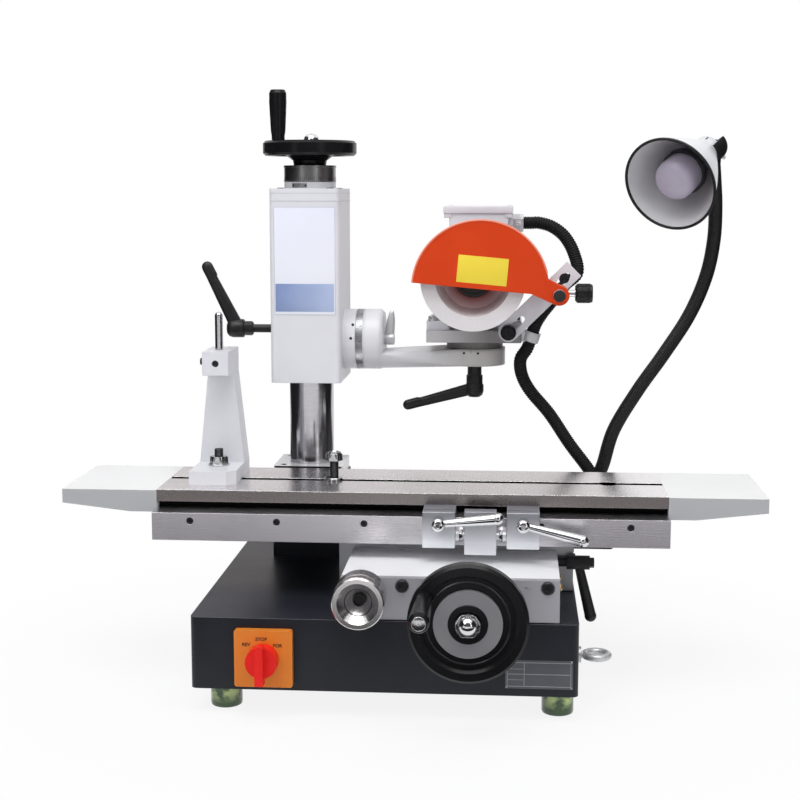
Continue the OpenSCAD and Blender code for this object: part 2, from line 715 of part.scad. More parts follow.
function involute_deg(base, r) = let (a = acos(min(1, base / r))) tan(a) * 180 / PI - a;
function flank(base, r, half_deg) = half_deg + involute_deg(base, pinion_pr) - involute_deg(base, max(r,
    base));
flank_shares = [-1.25, -0.6, -0.1, 0.35, 0.7, 1];
knob_blind = 20;
shaft_front_y = plate_front_y - knob_l + knob_blind;
module pinion_shaft() color([0.6, 0.61, 0.63]) translate([knob_x, 0, pinion_z]) {
    half_deg = 90 / pinion_teeth - gear_backlash / (2 * pinion_pr) * 180 / PI;
    base = pinion_pr * cos(pressure_angle);
    slab_y(pinion_y, rack_w) polygon([for (k = [0 : pinion_teeth - 1], side = [-1, 1],
        j = [0 : len(flank_shares) - 1])
        let (r = pinion_pr + flank_shares[side < 0 ? j : len(flank_shares) - 1 - j] * gear_m,
            a = 90 + (k + 0.5) * 360 / pinion_teeth + side * flank(base, r, half_deg))
        r * [cos(a), sin(a)]]);
    rod_y(shaft_front_y, pinion_y - shaft_front_y + overrun, shaft_r);
}

// Table knob: turned, with a dished face and a flange against the plate
knob_dish = 16;
knob_dish_share = 0.8;
knob_neck_share = 0.86;
knob_groove = 6;
knob_hole_r = 6;
module table_knob() color([0.75, 0.75, 0.76]) translate([knob_x, plate_front_y - gap - knob_l, pinion_z])
    difference() {
    lathe_y() polygon([
        [0, knob_dish], [knob_r * (1 - knob_dish_share) + overrun, knob_dish], [knob_r * knob_dish_share,
            0], [knob_r - overrun, 0],
        [knob_r, overrun], [knob_r, knob_l - 2 * knob_groove], [knob_r * knob_neck_share,
            knob_l - knob_groove],
        [knob_r * knob_neck_share, knob_l], [0, knob_l]]);
    rod_y(knob_blind, knob_l, shaft_r + fit);
    rod_y(knob_dish - overrun, knob_blind, knob_hole_r);
}

// Dogs hooked over the beam's ledge, each with a chrome lever
dog_t = 16;
dog_top = 14;
dog_lip = 11;
dog_lip_w = 20;
dog_screw_drop = 3;
dog_screw_z = beam_top_z - dog_screw_drop;
dog_stud_r = 5;
dog_back_y = beam_front_y - gap;
module dog(x) difference() {
    union() {
        slab_x(x - dog_w / 2, dog_w) polygon([
            [dog_back_y - dog_t, beam_z], [dog_back_y, beam_z], [dog_back_y, beam_top_z + gap],
            [table_front_y - gap, beam_top_z + gap], [table_front_y - gap, beam_top_z + dog_top],
            [dog_back_y - dog_t, beam_top_z + dog_top]]);
        block(x - dog_lip_w / 2, x + dog_lip_w / 2, table_front_y - gap - overrun, table_front_y + dog_lip,
            beam_top_z + gap, beam_top_z + groove_h - gap);
    }
    translate([x, 0, dog_screw_z]) rod_y(dog_back_y - dog_t - overrun, dog_t + 2 * overrun,
        dog_stud_r + fit);
}
dog_hub_r = 7.5;
dog_hub_l = 14;
dog_lever_l = 66;
dog_lever_r = 4;
dog_lever_tip_r = 6.5;
dog_lever_rise = 10;
module dog_lever(x, turn) color([0.85, 0.85, 0.86]) translate([x, dog_back_y - dog_t, dog_screw_z]) {
    rod_y(-dog_hub_l, dog_hub_l - gap, dog_hub_r);
    rod_y(-gap - overrun, dog_t - gap, dog_stud_r);
    hub_mid = -dog_hub_l / 2;
    tip = [dog_lever_l * cos(turn), hub_mid - dog_lever_rise, dog_lever_l * sin(turn)];
    bar([0, hub_mid, 0], tip, dog_lever_r, dog_lever_tip_r);
    translate(tip) sphere(dog_lever_tip_r + gap);
}
left_lever_turn = 8;
right_lever_turn = -12;
module left_dog() color([0.68, 0.68, 0.69]) dog(left_dog_x);
module right_dog() color([0.68, 0.68, 0.69]) dog(right_dog_x);
module left_dog_lever() dog_lever(left_dog_x, left_lever_turn);
module right_dog_lever() dog_lever(right_dog_x, right_lever_turn);

// Handwheel section: rim, dished web and hub, front face at t = 0
rim_t = 14;
web_t = 7;
web_in = 6;
rim_round = 3;
module handwheel(r, hub, bore) difference() {
    hub_l = hub[len(hub) - 1][1];
    rotate_extrude() polygon([
        [0, web_in], [r - rim_t, web_in], [r - rim_t, rim_round], [r - rim_t + rim_round, 0],
        [r - rim_round, 0], [r, rim_round], [r, rim_w - rim_round], [r - rim_round, rim_w],
        [r - rim_t + rim_round, rim_w], [r - rim_t, rim_w - rim_round], [r - rim_t, web_in + web_t],
        each hub, [0, hub_l]]);
    translate([0, 0, -overrun]) cylinder(h = hub_l + 2 * overrun, r = bore);
}
// Revolving grip on its pin, growing along +Z from the rim's face
grip_pin_r = 5;
grip_r = 10.5;
grip_foot_r = 8;
grip_l = 86;
grip_cap = 4;
lift_grip_l = 60;
module grip(length) difference() {
    rotate_extrude() polygon([
        [0, 0], [grip_foot_r, 0], [grip_foot_r, grip_cap], [grip_r, length - 3 * grip_cap],
        [grip_r, length - grip_cap], [grip_r - grip_cap / 2, length], [0, length]]);
    translate([0, 0, -overrun]) cylinder(h = length - grip_cap, r = grip_pin_r + fit);
}

cross_wheel_reach = 72;
cross_wheel_y = plate_front_y - cross_wheel_reach;
grip_circle_share = 0.83;
cross_grip_turn = 149;
cross_grip_at = cross_wheel_r * grip_circle_share * [cos(cross_grip_turn), sin(cross_grip_turn)];
cross_hub_l = plate_front_y - cross_wheel_y - gap;
cross_hub = [[20, web_in + web_t], [20, 30], [16.5, 40], [16.5, cross_hub_l]];
module cross_handwheel() color([0.09, 0.09, 0.1]) {
    translate([cross_x, cross_wheel_y, cross_z]) rotate([-90, 0, 0]) handwheel(cross_wheel_r,
        cross_hub, cross_screw_r + fit);
    translate([cross_x + cross_grip_at[0], 0, cross_z + cross_grip_at[1]])
        rod_y(cross_wheel_y - grip_l + 2 * grip_cap, grip_l, grip_pin_r);
}
cross_dial_r = 35.6;
cross_dial_in = 20.7;
cross_dial_t = 5;
module cross_dial() color([0.6, 0.61, 0.62]) translate([cross_x, cross_wheel_y + web_in - cross_dial_t,
    cross_z])
    lathe_y() translate([cross_dial_in, 0]) square([cross_dial_r - cross_dial_in, cross_dial_t]);
cross_nut_r = 13;
cross_nut_h = 11;
cross_screw_spare = 5;
cross_screw_end = cross_nut_y + cross_nut_l + cross_front + cross_screw_spare;
module cross_screw() color([0.78, 0.78, 0.79]) translate([cross_x, 0, cross_z]) {
    front = cross_wheel_y + web_in - cross_nut_h;
    rod_y(front + overrun, cross_screw_end - front, cross_screw_r);
    translate([0, front, 0]) rotate([-90, 0, 0]) hex_prism(cross_nut_r, cross_nut_h);
}
module cross_grip() color([0.1, 0.1, 0.11])
    translate([cross_x + cross_grip_at[0], cross_wheel_y - gap, cross_z + cross_grip_at[1]]) rotate([90,
        0, 0]) grip(grip_l + grip_cap);

// Saddle lock lever on the apron's right side
lock_hub_r = 8;
lock_hub_l = 26;
lock_side_in = 10;
lock_clear = 1;
lock_stand = max(lock_clear, base_right_x - apron_x0 - apron_w - lock_side_in);
lock_arm = 62;
lock_lean = 15;
lock_tip_r = 6.5;
lock_nut_r = 6;
lock_nut_l = 5;
module saddle_lock_lever() color([0.1, 0.1, 0.11]) translate([apron_x0 + apron_w, lock_y, lock_z]) {
    rod_x(-apron_wall, apron_wall + lock_stand + overrun, lock_stud_r);
    rod_x(lock_stand, lock_hub_l, lock_hub_r);
    translate([lock_stand + lock_hub_l, 0, 0]) rotate([0, 90, 0]) hex_prism(lock_nut_r, lock_nut_l);
    mid = [lock_stand + lock_hub_l / 2, 0, 0];
    tip = mid + [lock_lean, 0, -lock_arm];
    bar(mid, tip, lock_nut_l, lock_tip_r);
    translate(tip) sphere(lock_tip_r + gap);
}

// Tool post: foot on the table, tapered upright, overhung head block, T-bolt and sliding rest rod
post_end_in = 58.5;
post_x = -table_l / 2 + post_end_in;
post_foot_w = 54;
post_foot_d = 97;
post_foot_t = 16;
post_inset = 28;
post_front_y = table_front_y + post_inset;
post_back_y = post_front_y + post_foot_d;
post_web_t = 32;
post_head_w = 31;
post_head_h = 28;
post_head_d = 66;
post_h = 152;
post_stud_r = 5;
post_foot_chamfer = 10;
rest_out = 8;
rest_y = post_back_y - post_web_t - rest_out;
rest_r = 4.7;
post_z = table_top_z;
post_screw_r = 4;
post_screw_head = 4;
post_screw_z = post_z + post_h - post_head_h / 2;
module tool_post() color([0.91, 0.91, 0.92]) {
    difference() {
        union() {
            translate([post_x, 0, post_z]) linear_extrude(post_foot_t) polygon([
                [-post_foot_w / 2, post_front_y], [post_foot_w / 2 - post_foot_chamfer, post_front_y],
                [post_foot_w / 2, post_front_y + post_foot_chamfer], [post_foot_w / 2, post_back_y],
                    [-post_foot_w / 2, post_back_y]]);
            translate([post_x, 0, post_z]) slab_y(post_back_y - post_web_t, post_web_t) polygon([
                [-post_foot_w / 2, post_foot_t - overrun], [post_foot_w / 2, post_foot_t - overrun],
                [post_head_w / 2, post_h - post_head_h], [post_head_w / 2, post_h], [-post_head_w / 2,
                    post_h], [-post_head_w / 2, post_h - post_head_h]]);
            block(post_x - post_head_w / 2, post_x + post_head_w / 2, post_back_y - post_head_d,
                post_back_y,
                post_z + post_h - post_head_h, post_z + post_h);
        }
        translate([post_x, slot_y, post_z - overrun]) cylinder(h = post_foot_t + 2 * overrun,
            r = post_stud_r + gap);
        translate([post_x, rest_y, post_z + post_h - post_head_h - overrun])
            cylinder(h = post_head_h + 2 * overrun, r = rest_r + fit);
        translate([post_x, 0, post_screw_z]) rod_y(post_back_y - post_head_d - overrun, post_web_t / 2,
            post_screw_r);
    }
    translate([0, rest_y, post_screw_z]) rod_x(post_x - post_head_w / 2 - post_screw_head,
        post_screw_head + overrun, post_screw_r);
}

// T-bolt: head in the slot, stud and hex nut over a seat
t_head_w = 18;
t_head_h = 6;
t_nut_r = 9.5;
t_nut_h = 8;
t_stud_over = 11;
module t_bolt(x, seat_z, r) {
    translate([x, slot_y, 0]) {
        block(-t_head_w / 2, t_head_w / 2, -t_head_w / 2, t_head_w / 2,
            table_top_z - slot_neck_h - t_head_h - gap, table_top_z - slot_neck_h - gap);
        translate([0, 0, table_top_z - slot_neck_h - gap - overrun])
            cylinder(h = seat_z + t_nut_h + t_stud_over - table_top_z + slot_neck_h + gap + overrun, r = r);
        translate([0, 0, seat_z]) hex_prism(t_nut_r, t_nut_h);
    }
}
module post_t_bolt() color([0.3, 0.3, 0.31]) t_bolt(post_x, table_top_z + post_foot_t, post_stud_r);
spare_x = -94;
spare_seat = 24;
spare_nut_lift = 22;
module spare_t_bolt() color([0.2, 0.2, 0.21]) {
    t_bolt(spare_x, table_top_z + spare_seat, post_stud_r);
    translate([spare_x, slot_y, table_top_z + fit]) cylinder(h = bottom_t, r = slot_foot_w / 2);
}
rest_over = 45;
module rest_rod() color([0.82, 0.82, 0.83]) translate([post_x, rest_y, post_z + post_h - post_head_h]) {
    cylinder(h = post_head_h + rest_over - rest_r, r = rest_r);
    translate([0, 0, post_head_h + rest_over - rest_r]) sphere(rest_r);
}

// Head housing: bored for the column, with the tilt boss on its right side
head_back = 5;
head_y = column_y + head_back;
head_corner_r = 5;
trunnion_r = 20;
clamp_out = 8;
clamp_lift = 63;
clamp_y = column_y - clamp_out;
clamp_z = head_z + clamp_lift;
clamp_stud_r = 6;
module head_housing() color([0.93, 0.93, 0.94]) difference() {
    union() {
        translate([column_x, head_y, head_z]) linear_extrude(head_h) round_rect(head_w, head_d,
            head_corner_r);
        translate([0, column_y, tilt_z]) rod_x(head_right_x - head_corner_r, boss_l + head_corner_r,
            boss_r);
    }
    translate([column_x, column_y, head_z - overrun]) cylinder(h = head_h + 2 * overrun,
        r = column_r + fit);
    translate([0, column_y, tilt_z]) rod_x(column_x + column_r, boss_x - column_x, trunnion_r + fit);
    translate([0, clamp_y, clamp_z]) rod_x(column_x - head_w / 2 - overrun, head_w / 2 - column_r / 2,
        clamp_stud_r + fit);
}
collar_r = 32;
collar_h = 8;
module head_cap() color([0.94, 0.94, 0.95]) translate([column_x, 0, head_z + head_h]) difference() {
    union() {
        translate([0, head_y, 0]) linear_extrude(cap_t) round_rect(head_w, head_d, head_corner_r);
        translate([0, column_y, cap_t]) cylinder(h = collar_h, r = collar_r);
    }
    translate([0, column_y, -overrun]) cylinder(h = cap_t + collar_h + 2 * overrun, r = lift_screw_r + fit);
}

// Elevating handwheel, dial and screw
lift_dial_h = 20;
lift_hub_l = 30;
lift_hub = [[42, web_in + web_t], [29, 18], [21, 24], [20, lift_hub_l]];
lift_dial_z = head_top_z + collar_h + gap;
lift_wheel_z = lift_dial_z + lift_dial_h + lift_hub_l;
lift_grip_turn = 225;
lift_grip_at = lift_wheel_r * grip_circle_share * [cos(lift_grip_turn), sin(lift_grip_turn)];
module elevating_handwheel() color([0.09, 0.09, 0.1]) translate([column_x, column_y, 0]) {
    translate([0, 0, lift_wheel_z]) rotate([180, 0, 0]) handwheel(lift_wheel_r, lift_hub,
        lift_screw_r + fit);
    translate([lift_grip_at[0], lift_grip_at[1], lift_wheel_z - rim_w / 2]) cylinder(h = lift_grip_l,
        r = grip_pin_r);
}
module elevating_dial() color([0.6, 0.6, 0.6]) translate([column_x, column_y, lift_dial_z]) difference() {
    cylinder(h = lift_dial_h, r = collar_r);
    translate([0, 0, -overrun]) cylinder(h = lift_dial_h + 2 * overrun, r = lift_screw_r + fit);
}
lift_screw_low = 180;
module elevating_screw() color([0.75, 0.75, 0.76]) translate([column_x, column_y,
    column_top_z - lift_screw_low])
    cylinder(h = lift_wheel_z - web_in - column_top_z + lift_screw_low + grip_cap, r = lift_screw_r);
module elevating_grip() color([0.1, 0.1, 0.11])
    translate([column_x + lift_grip_at[0], column_y + lift_grip_at[1], lift_wheel_z + gap])
        grip(lift_grip_l);

// Clamp lever with a fluted hub about +Z, its arm leaning along +X
lever_hub_r = 11;
lever_hub_h = 27;
lever_stud_r = 7;
lever_nub_r = 7;
module clamp_lever(reach, lift, stud_l, stud_r, root_r, end_r, nub) {
    translate([0, 0, -stud_l]) cylinder(h = stud_l + overrun, r = stud_r);
    rotate_extrude() polygon([
        [0, 0], [lever_hub_r - overrun, 0], [lever_hub_r, overrun],
        [lever_hub_r, lever_hub_h - 2 * overrun], [lever_hub_r - 2 * overrun, lever_hub_h],
        [lever_nub_r, lever_hub_h], [lever_nub_r, lever_hub_h + nub], [0, lever_hub_h + nub]]);
    start = [0, 0, lever_hub_h - lever_hub_r];
    tip = [reach, 0, lever_hub_h - lever_hub_r + lift];
    bar(start, tip, root_r, end_r);
    translate(tip) sphere(end_r + overrun);
}
column_clamp_stand = 29;
column_clamp_in = 8;
column_clamp_reach = 76;
column_clamp_lift = 43;
column_arm_root_r = 9;
column_arm_end_r = 6.4;
column_lever_nub = 6;
module column_clamp_lever() color([0.09, 0.09, 0.1])
    translate([column_x - head_w / 2 - column_clamp_stand, clamp_y, clamp_z]) rotate([0, -90, 0])
        clamp_lever(column_clamp_reach, column_clamp_lift, column_clamp_stand + column_clamp_in,
            clamp_stud_r, column_arm_root_r, column_arm_end_r, column_lever_nub);

// Tilting arm
module tilt_dial() color([0.55, 0.56, 0.58]) translate([boss_x + gap, column_y, tilt_z]) difference() {
    rod_x(0, dial_l - gap, boss_r);
    rod_x(-overrun, dial_l + 2 * overrun, trunnion_r);
}
arm_drop = 9;
arm_top_z = tilt_z - arm_drop;
pad_z = arm_top_z - pad_t;
arm_root_drop = 15;
arm_sides = 48;
arm_end_in = 14;
arm_end_half = 34.5;
spigot_r = 22;
spigot_l = 16;
swivel_stud_r = 7;
arm_clamp_r = 6;
flange_round = 4;
module arm() color([0.9, 0.9, 0.91]) difference() {
    union() {
        translate([flange_x, column_y, tilt_z]) lathe_x() polygon([
            [0, 0], [boss_r, 0], [boss_r, flange_l - flange_round], [boss_r - flange_round, flange_l],
                [0, flange_l]]);
        translate([0, column_y, tilt_z]) rod_x(head_right_x + gap, flange_x - head_right_x, trunnion_r);
        hull() {
            intersection() {
                translate([0, column_y, tilt_z]) rod_x(flange_end_x - 2 * flange_round, flange_round,
                    boss_r - overrun, $fn = arm_sides);
                block(flange_x, flange_end_x, column_y - boss_r, column_y + boss_r, tilt_z - boss_r,
                    tilt_z - arm_root_drop);
            }
            block(swivel_x - arm_end_in - overrun, swivel_x - arm_end_in, column_y - arm_end_half,
                column_y + arm_end_half, pad_z, arm_top_z);
        }
        translate([swivel_x, column_y, pad_z]) cylinder(h = pad_t, r = pad_r);
    }
    translate([swivel_x, column_y, arm_top_z - spigot_l]) cylinder(h = spigot_l + overrun,
        r = spigot_r + fit);
    translate([swivel_x, column_y, pad_z - overrun]) cylinder(h = pad_t, r = swivel_stud_r + fit);
    translate([0, column_y, tilt_z]) rod_x(flange_x, flange_l + overrun, arm_clamp_r + fit);
}
arm_clamp_hub_r = 7;
arm_clamp_hub_l = 12;
arm_clamp_l = 38;
arm_clamp_tip_r = 2.2;
module arm_clamp_lever() color([0.84, 0.84, 0.85]) translate([flange_end_x + gap, column_y, tilt_z]) {
    rod_x(-flange_l + flange_round, flange_l - flange_round + overrun, arm_clamp_r);
    rod_x(0, arm_clamp_hub_l, arm_clamp_hub_r);
    foot = [arm_clamp_hub_l / 2, 0, 0];
    bar(foot, foot + [0, 0, arm_clamp_l], arm_clamp_hub_l / 2 - overrun / 2, arm_clamp_tip_r);
}
swivel_lever_reach = 84;
swivel_lever_lift = 24.5;
swivel_lever_stand = 14;
swivel_arm_root_r = 7.6;
swivel_arm_end_r = 5.4;
module swivel_clamp_lever() color([0.09, 0.09, 0.1])
    translate([swivel_x, column_y, pad_z - swivel_lever_stand]) rotate([0, 180, 0])
        clamp_lever(swivel_lever_reach, swivel_lever_lift, swivel_lever_stand + pad_t - spigot_l - gap,
            swivel_stud_r, swivel_arm_root_r, swivel_arm_end_r, overrun);

// Swivel base: spigot, graduated disc and motor plate
wheel_back_gap = 1.5;
swivel_y0 = column_y - wheel_overhang + wheel_w + wheel_back_gap;
disc_z = arm_top_z + fit;
swivel_z = disc_z + disc_h;
motor_z = swivel_z + swivel_t;
spindle_z = motor_z + axis_h;
swivel_corner_r = 4;
module swivel_base() color([0.72, 0.73, 0.74]) {
    translate([swivel_x, column_y, disc_z]) {
        translate([0, 0, -spigot_l + gap]) cylinder(h = spigot_l, r = spigot_r);
        cylinder(h = disc_h, r = disc_r);
    }
    translate([swivel_x, swivel_y0 + swivel_d / 2, swivel_z]) linear_extrude(swivel_t)
        round_rect(swivel_w, swivel_d, swivel_corner_r);
}

// Motor: finned body, end bells, feet and a fan cowl with slots
motor_in = 16;
motor_y = swivel_y0 + motor_in;
fin_count = 32;
fin_w = 3;
fin_h = 3;
bell_l = 12;
bell_r_share = 0.72;
cowl_l = 24;
cowl_slots = 12;
cowl_slot_w = 4;
foot_w = 27;
foot_t = 11;
foot_web_half = 40;
pad_half = 30;
pad_top = 3;
spindle_r = 9;
module motor() color([0.9, 0.9, 0.91]) {
    translate([swivel_x, 0, spindle_z]) difference() {
        union() {
            slab_y(motor_y, motor_l) union() {
                circle(motor_r);
                for (k = [0 : fin_count - 1]) rotate(360 * k / fin_count) translate([0, -fin_w / 2])
                    square([motor_r + fin_h, fin_w]);
            }
            translate([0, motor_y - bell_l, 0]) lathe_y() polygon([
                [0, 0], [motor_r * bell_r_share, 0], [motor_r, bell_l], [0, bell_l]]);
            translate([0, motor_y + motor_l, 0]) lathe_y() polygon([
                [0, 0], [motor_r + fin_h, 0], [motor_r + fin_h, cowl_l - bell_l / 2], [motor_r - fin_h,
                    cowl_l], [0, cowl_l]]);
            slab_y(motor_y, motor_l) translate([-pad_half, 0]) square([2 * pad_half, motor_r + pad_top]);
            slab_y(motor_y, motor_l) translate([-foot_web_half, foot_t - axis_h])
                square([2 * foot_web_half, axis_h - foot_t]);
            for (s = [-1, 1]) slab_y(motor_y - bell_l / 2, motor_l + bell_l / 2)
                translate([s * (swivel_w / 2 - foot_w / 2) - foot_w / 2, -axis_h]) square([foot_w, foot_t]);
            for (s = [-1, 1]) slab_y(motor_y, motor_l)
                translate([s * (foot_web_half - foot_t / 2) - foot_t / 2, -axis_h]) square([foot_t,
                    axis_h]);
        }
        rod_y(motor_y - bell_l - overrun, motor_l / 2, spindle_r + gap);
        for (k = [0 : cowl_slots - 1]) rotate([0, 360 * k / cowl_slots, 0])
            block(motor_r / 3, motor_r * bell_r_share, motor_y + motor_l + cowl_l - fin_h,
                motor_y + motor_l + cowl_l + overrun,
                -cowl_slot_w / 2, cowl_slot_w / 2);
    }
}

// Terminal box: body, wider lid and four lid screws
lid_w = 84;
lid_d = 74;
lid_t = 8;
term_w = 60;
term_h = 18;
term_back = 6;
term_y = column_y + term_back;
lid_screw_r = 4.5;
term_z = spindle_z + motor_r + pad_top;
module terminal_box() color([0.92, 0.92, 0.93]) translate([swivel_x, term_y, term_z]) {
    linear_extrude(term_h) round_rect(term_w, lid_d, swivel_corner_r);
    translate([0, 0, term_h]) linear_extrude(lid_t) round_rect(lid_w, lid_d, swivel_corner_r);
    for (sx = [-1, 1], sy = [-1, 1])
        translate([sx * (lid_w / 2 - lid_screw_r - overrun), sy * (lid_d / 2 - 2 * lid_screw_r),
            term_h - lid_screw_r])
            hex_prism(lid_screw_r, lid_screw_r);
}

// Slotted guard bracket in front of the motor plate, with the guard's pivot boss and pin
bracket_w = 24;
guard_plate_t = 6;
guard_bracket_y = swivel_y0 - guard_plate_t;
pivot_off = [101, -18.5];
bracket_low_off = [42, -0.5];
bracket_high_off = [120, 10];
pivot = [swivel_x, spindle_z] + pivot_off;
bracket_low = [swivel_x, motor_z] + bracket_low_off;
bracket_high = [swivel_x, spindle_z] + bracket_high_off;
bracket_slot_r = 4;
bracket_slot_l = 26;
pivot_boss_r = 10;
pivot_pin_r = 6;
guard_front = 12;
guard_y = column_y - wheel_overhang - guard_front;
guard_hub_l = 16;
bracket_turn = atan2(bracket_high[1] - bracket_low[1], bracket_high[0] - bracket_low[0]);
bracket_l = norm(bracket_high - bracket_low);
knob_pin_r = 4;
module bar_slot(l, r) {
    translate([0, -r]) square([l, 2 * r]);
    circle(r);
    translate([l, 0]) circle(r);
}
module guard_bracket() color([0.85, 0.85, 0.86]) {
    difference() {
        slab_y(guard_bracket_y, guard_plate_t) translate(bracket_low) rotate(bracket_turn) difference() {
            union() {
                translate([0, -bracket_w / 2]) square([bracket_l, bracket_w]);
                circle(bracket_w / 2);
            }
            translate([-bracket_slot_r, 0]) bar_slot(bracket_slot_l, bracket_slot_r);
            translate([bracket_l - bracket_w, 0]) bar_slot(bracket_w / 2, bracket_slot_r);
        }
    }
    translate([pivot[0], 0, pivot[1]]) {
        difference() {
            rod_y(guard_y + guard_t + guard_hub_l + gap,
                guard_bracket_y - guard_y - guard_t - guard_hub_l - gap + overrun, pivot_boss_r);
            translate([0, guard_bracket_y - bracket_w / 2, 0]) rod_x(0, pivot_boss_r + overrun,
                knob_pin_r + fit);
        }
        rod_y(guard_y - guard_t, guard_hub_l + 2 * guard_t + gap + overrun, pivot_pin_r);
        rod_y(guard_y - guard_t - pivot_pin_r, pivot_pin_r - overrun / 2 + guard_t - gap,
            pivot_pin_r + overrun);
    }
}
// Thumb screw in the pivot boss, knurled knob on the bracket
thumb_r = 11;
thumb_l = 17;
thumb_stem = 10;
module guard_thumb_screw() color([0.08, 0.08, 0.09])
    translate([pivot[0], guard_bracket_y - bracket_w / 2, pivot[1]]) {
        rod_x(gap, pivot_boss_r + thumb_stem + overrun, knob_pin_r);
        translate([pivot_boss_r + thumb_stem, 0, 0]) lathe_x() polygon([
            [0, 0], [thumb_r - 2 * overrun, 0], [thumb_r, 2 * overrun], [thumb_r, thumb_l - 2 * overrun],
                [thumb_r - 2 * overrun, thumb_l], [0, thumb_l]]);
    }
bracket_knob_r = 9;
bracket_knob_l = 14;
module bracket_knob() color([0.08, 0.08, 0.09]) translate([bracket_low[0], guard_bracket_y - gap,
    bracket_low[1]]) {
    translate([0, -bracket_knob_l, 0]) lathe_y() polygon([
        [0, 0], [bracket_knob_r - 2 * overrun, 0], [bracket_knob_r, 2 * overrun], [bracket_knob_r,
            bracket_knob_l], [0, bracket_knob_l]]);
    rod_y(-overrun, guard_plate_t + overrun, bracket_slot_r - gap);
}

// Conduit fittings: gland on the terminal box, clip on the motor plate
clip_t = 2;
clip_w = 12;
module along(at, dir) translate(at) rotate([0, acos(dir[2]), atan2(dir[1], dir[0])]) children();
module conduit_fittings() color([0.75, 0.75, 0.76]) {
    translate([swivel_x + term_w / 2, gland_point()[1], gland_point()[2]]) difference() {
        rotate([0, 90, 0]) hex_prism(gland_r, gland_len);
        rod_x(-overrun, gland_len + 2 * overrun, conduit_bore_r);
    }
    difference() {
        union() {
            along(clip_point(), unit(clip_dir)) cylinder(h = clip_w, r = conduit_r + gap + clip_t,
                center = true);
            translate(clip_point() - [clip_off[0], clip_w / 2, clip_w / 2]) cube([clip_off[0], clip_w,
                clip_w]);
        }
        along(clip_point(), unit(clip_dir)) cylinder(h = 3 * clip_w, r = conduit_r + gap, center = true);
        translate([swivel_x + swivel_w / 2 - 2 * clip_off[0], swivel_y0, swivel_z - swivel_t])
            cube([2 * clip_off[0], swivel_d, 3 * swivel_t]);
    }
}

// Spindle with wheel flange and nut
flange_wheel_r = 24;
flange_wheel_t = 5;
spindle_nut_r = 19;
spindle_nut_l = 12;
wheel_y = column_y - wheel_overhang;
wheel_web_t = 12;
wheel_bore_r = 16;
module spindle() color([0.4, 0.4, 0.42]) translate([swivel_x, 0, spindle_z]) {
    web_y = wheel_y + wheel_w - wheel_web_t;
    rod_y(web_y - flange_wheel_t - spindle_nut_l,
        motor_y + motor_l / 3 - web_y + flange_wheel_t + spindle_nut_l, spindle_r);
    rod_y(web_y - fit, wheel_web_t + 2 * fit, wheel_bore_r - fit);
    rod_y(web_y - flange_wheel_t - fit, flange_wheel_t, flange_wheel_r);
    rod_y(wheel_y + wheel_w + fit, motor_y - bell_l - gap - wheel_y - wheel_w, flange_wheel_r);
    translate([0, web_y - flange_wheel_t - spindle_nut_l, 0]) rotate([-90, 0, 0])
        hex_prism(spindle_nut_r, spindle_nut_l);
}
// Flared cup wheel
wheel_back_share = 0.8;
wheel_rim_share = 0.72;
wheel_floor_share = 0.6;
module grinding_wheel() color([0.95, 0.93, 0.93]) translate([swivel_x, wheel_y, spindle_z]) lathe_y()
    polygon([
    [wheel_bore_r, wheel_w], [wheel_dia / 2 * wheel_back_share, wheel_w], [wheel_dia / 2, wheel_rim_t],
        [wheel_dia / 2, 0],
    [wheel_dia / 2 * wheel_rim_share, 0], [wheel_dia / 2 * wheel_floor_share, wheel_w - wheel_web_t],
        [wheel_bore_r, wheel_w - wheel_web_t]]);
wheel_rim_t = 8;

// Sheet guard: half-round face, rim band and pivot lug
guard_mid_off = [8.6, -11.55];
guard_mid = [swivel_x, spindle_z] + guard_mid_off;
guard_tilt = -5.2;
lug_arc = 9;
lug_low_share = 0.75;
lug_r = 12;
module guard_face() {
    intersection() {
        translate(guard_mid) circle(guard_r);
        translate(guard_mid) rotate(guard_tilt) translate([-2 * guard_r, 0]) square([4 * guard_r,
            2 * guard_r]);
    }
}
module guard_lug() {
    translate(pivot) circle(lug_r);
    polygon([guard_mid + guard_r * [cos(lug_arc), sin(lug_arc)], pivot + lug_r * [cos(75), sin(75)],
        pivot + lug_r * [cos(-110), sin(-110)],
        guard_mid + lug_low_share * guard_r * [cos(guard_tilt), sin(guard_tilt)]]);
}
module wheel_guard() color([0.86, 0.26, 0.09]) difference() {
    union() {
        slab_y(guard_y, guard_t) union() {
            guard_face();
            guard_lug();
        }
        slab_y(guard_y, guard_w) difference() {
            guard_face();
            translate(guard_mid) circle(guard_r - guard_t);
        }
        translate([pivot[0], 0, pivot[1]]) rod_y(guard_y, guard_t + guard_hub_l, lug_r);
    }
    translate([pivot[0], 0, pivot[1]]) rod_y(guard_y - overrun, guard_hub_l + guard_t + 2 * overrun,
        pivot_pin_r + fit);
}

// Lamp: gooseneck with its holder, shade and bulb
neck_sides = 12;
neck_steps = 3;
lamp_dir = unit([-0.485, -0.785, -0.385]);
holder_r = 9;
holder_low = 24;
holder_l = 40;
neck_points = [
    [0, 0, 1], [0, 0, 11], [0, 0, 21], [0, 0, 30], [4, 0, 44], [14, 0, 68], [27, 0, 113], [56, -1, 164],
    [87, -2, 210], [117, -3, 259], [136, -5, 307], [144, -7, 351], [145, -8, 392], [142.5, -9, 428],
    [140.5, -9.7, 448.8]];
lamp_off = [140.5, -9.7, 468.8];
lamp_at = neck_foot + lamp_off;
module gooseneck() color([0.1, 0.1, 0.11]) {
    tube(smooth_route([for (p = neck_points) neck_foot + p], neck_steps), neck_r, neck_sides);
    translate(lamp_at + [0, 0, -holder_low]) cylinder(h = holder_l, r = holder_r);
}
shade_neck_r = 17;
shade_neck_l = 32;
shade_start = 17;
shade_stub_r = 6;
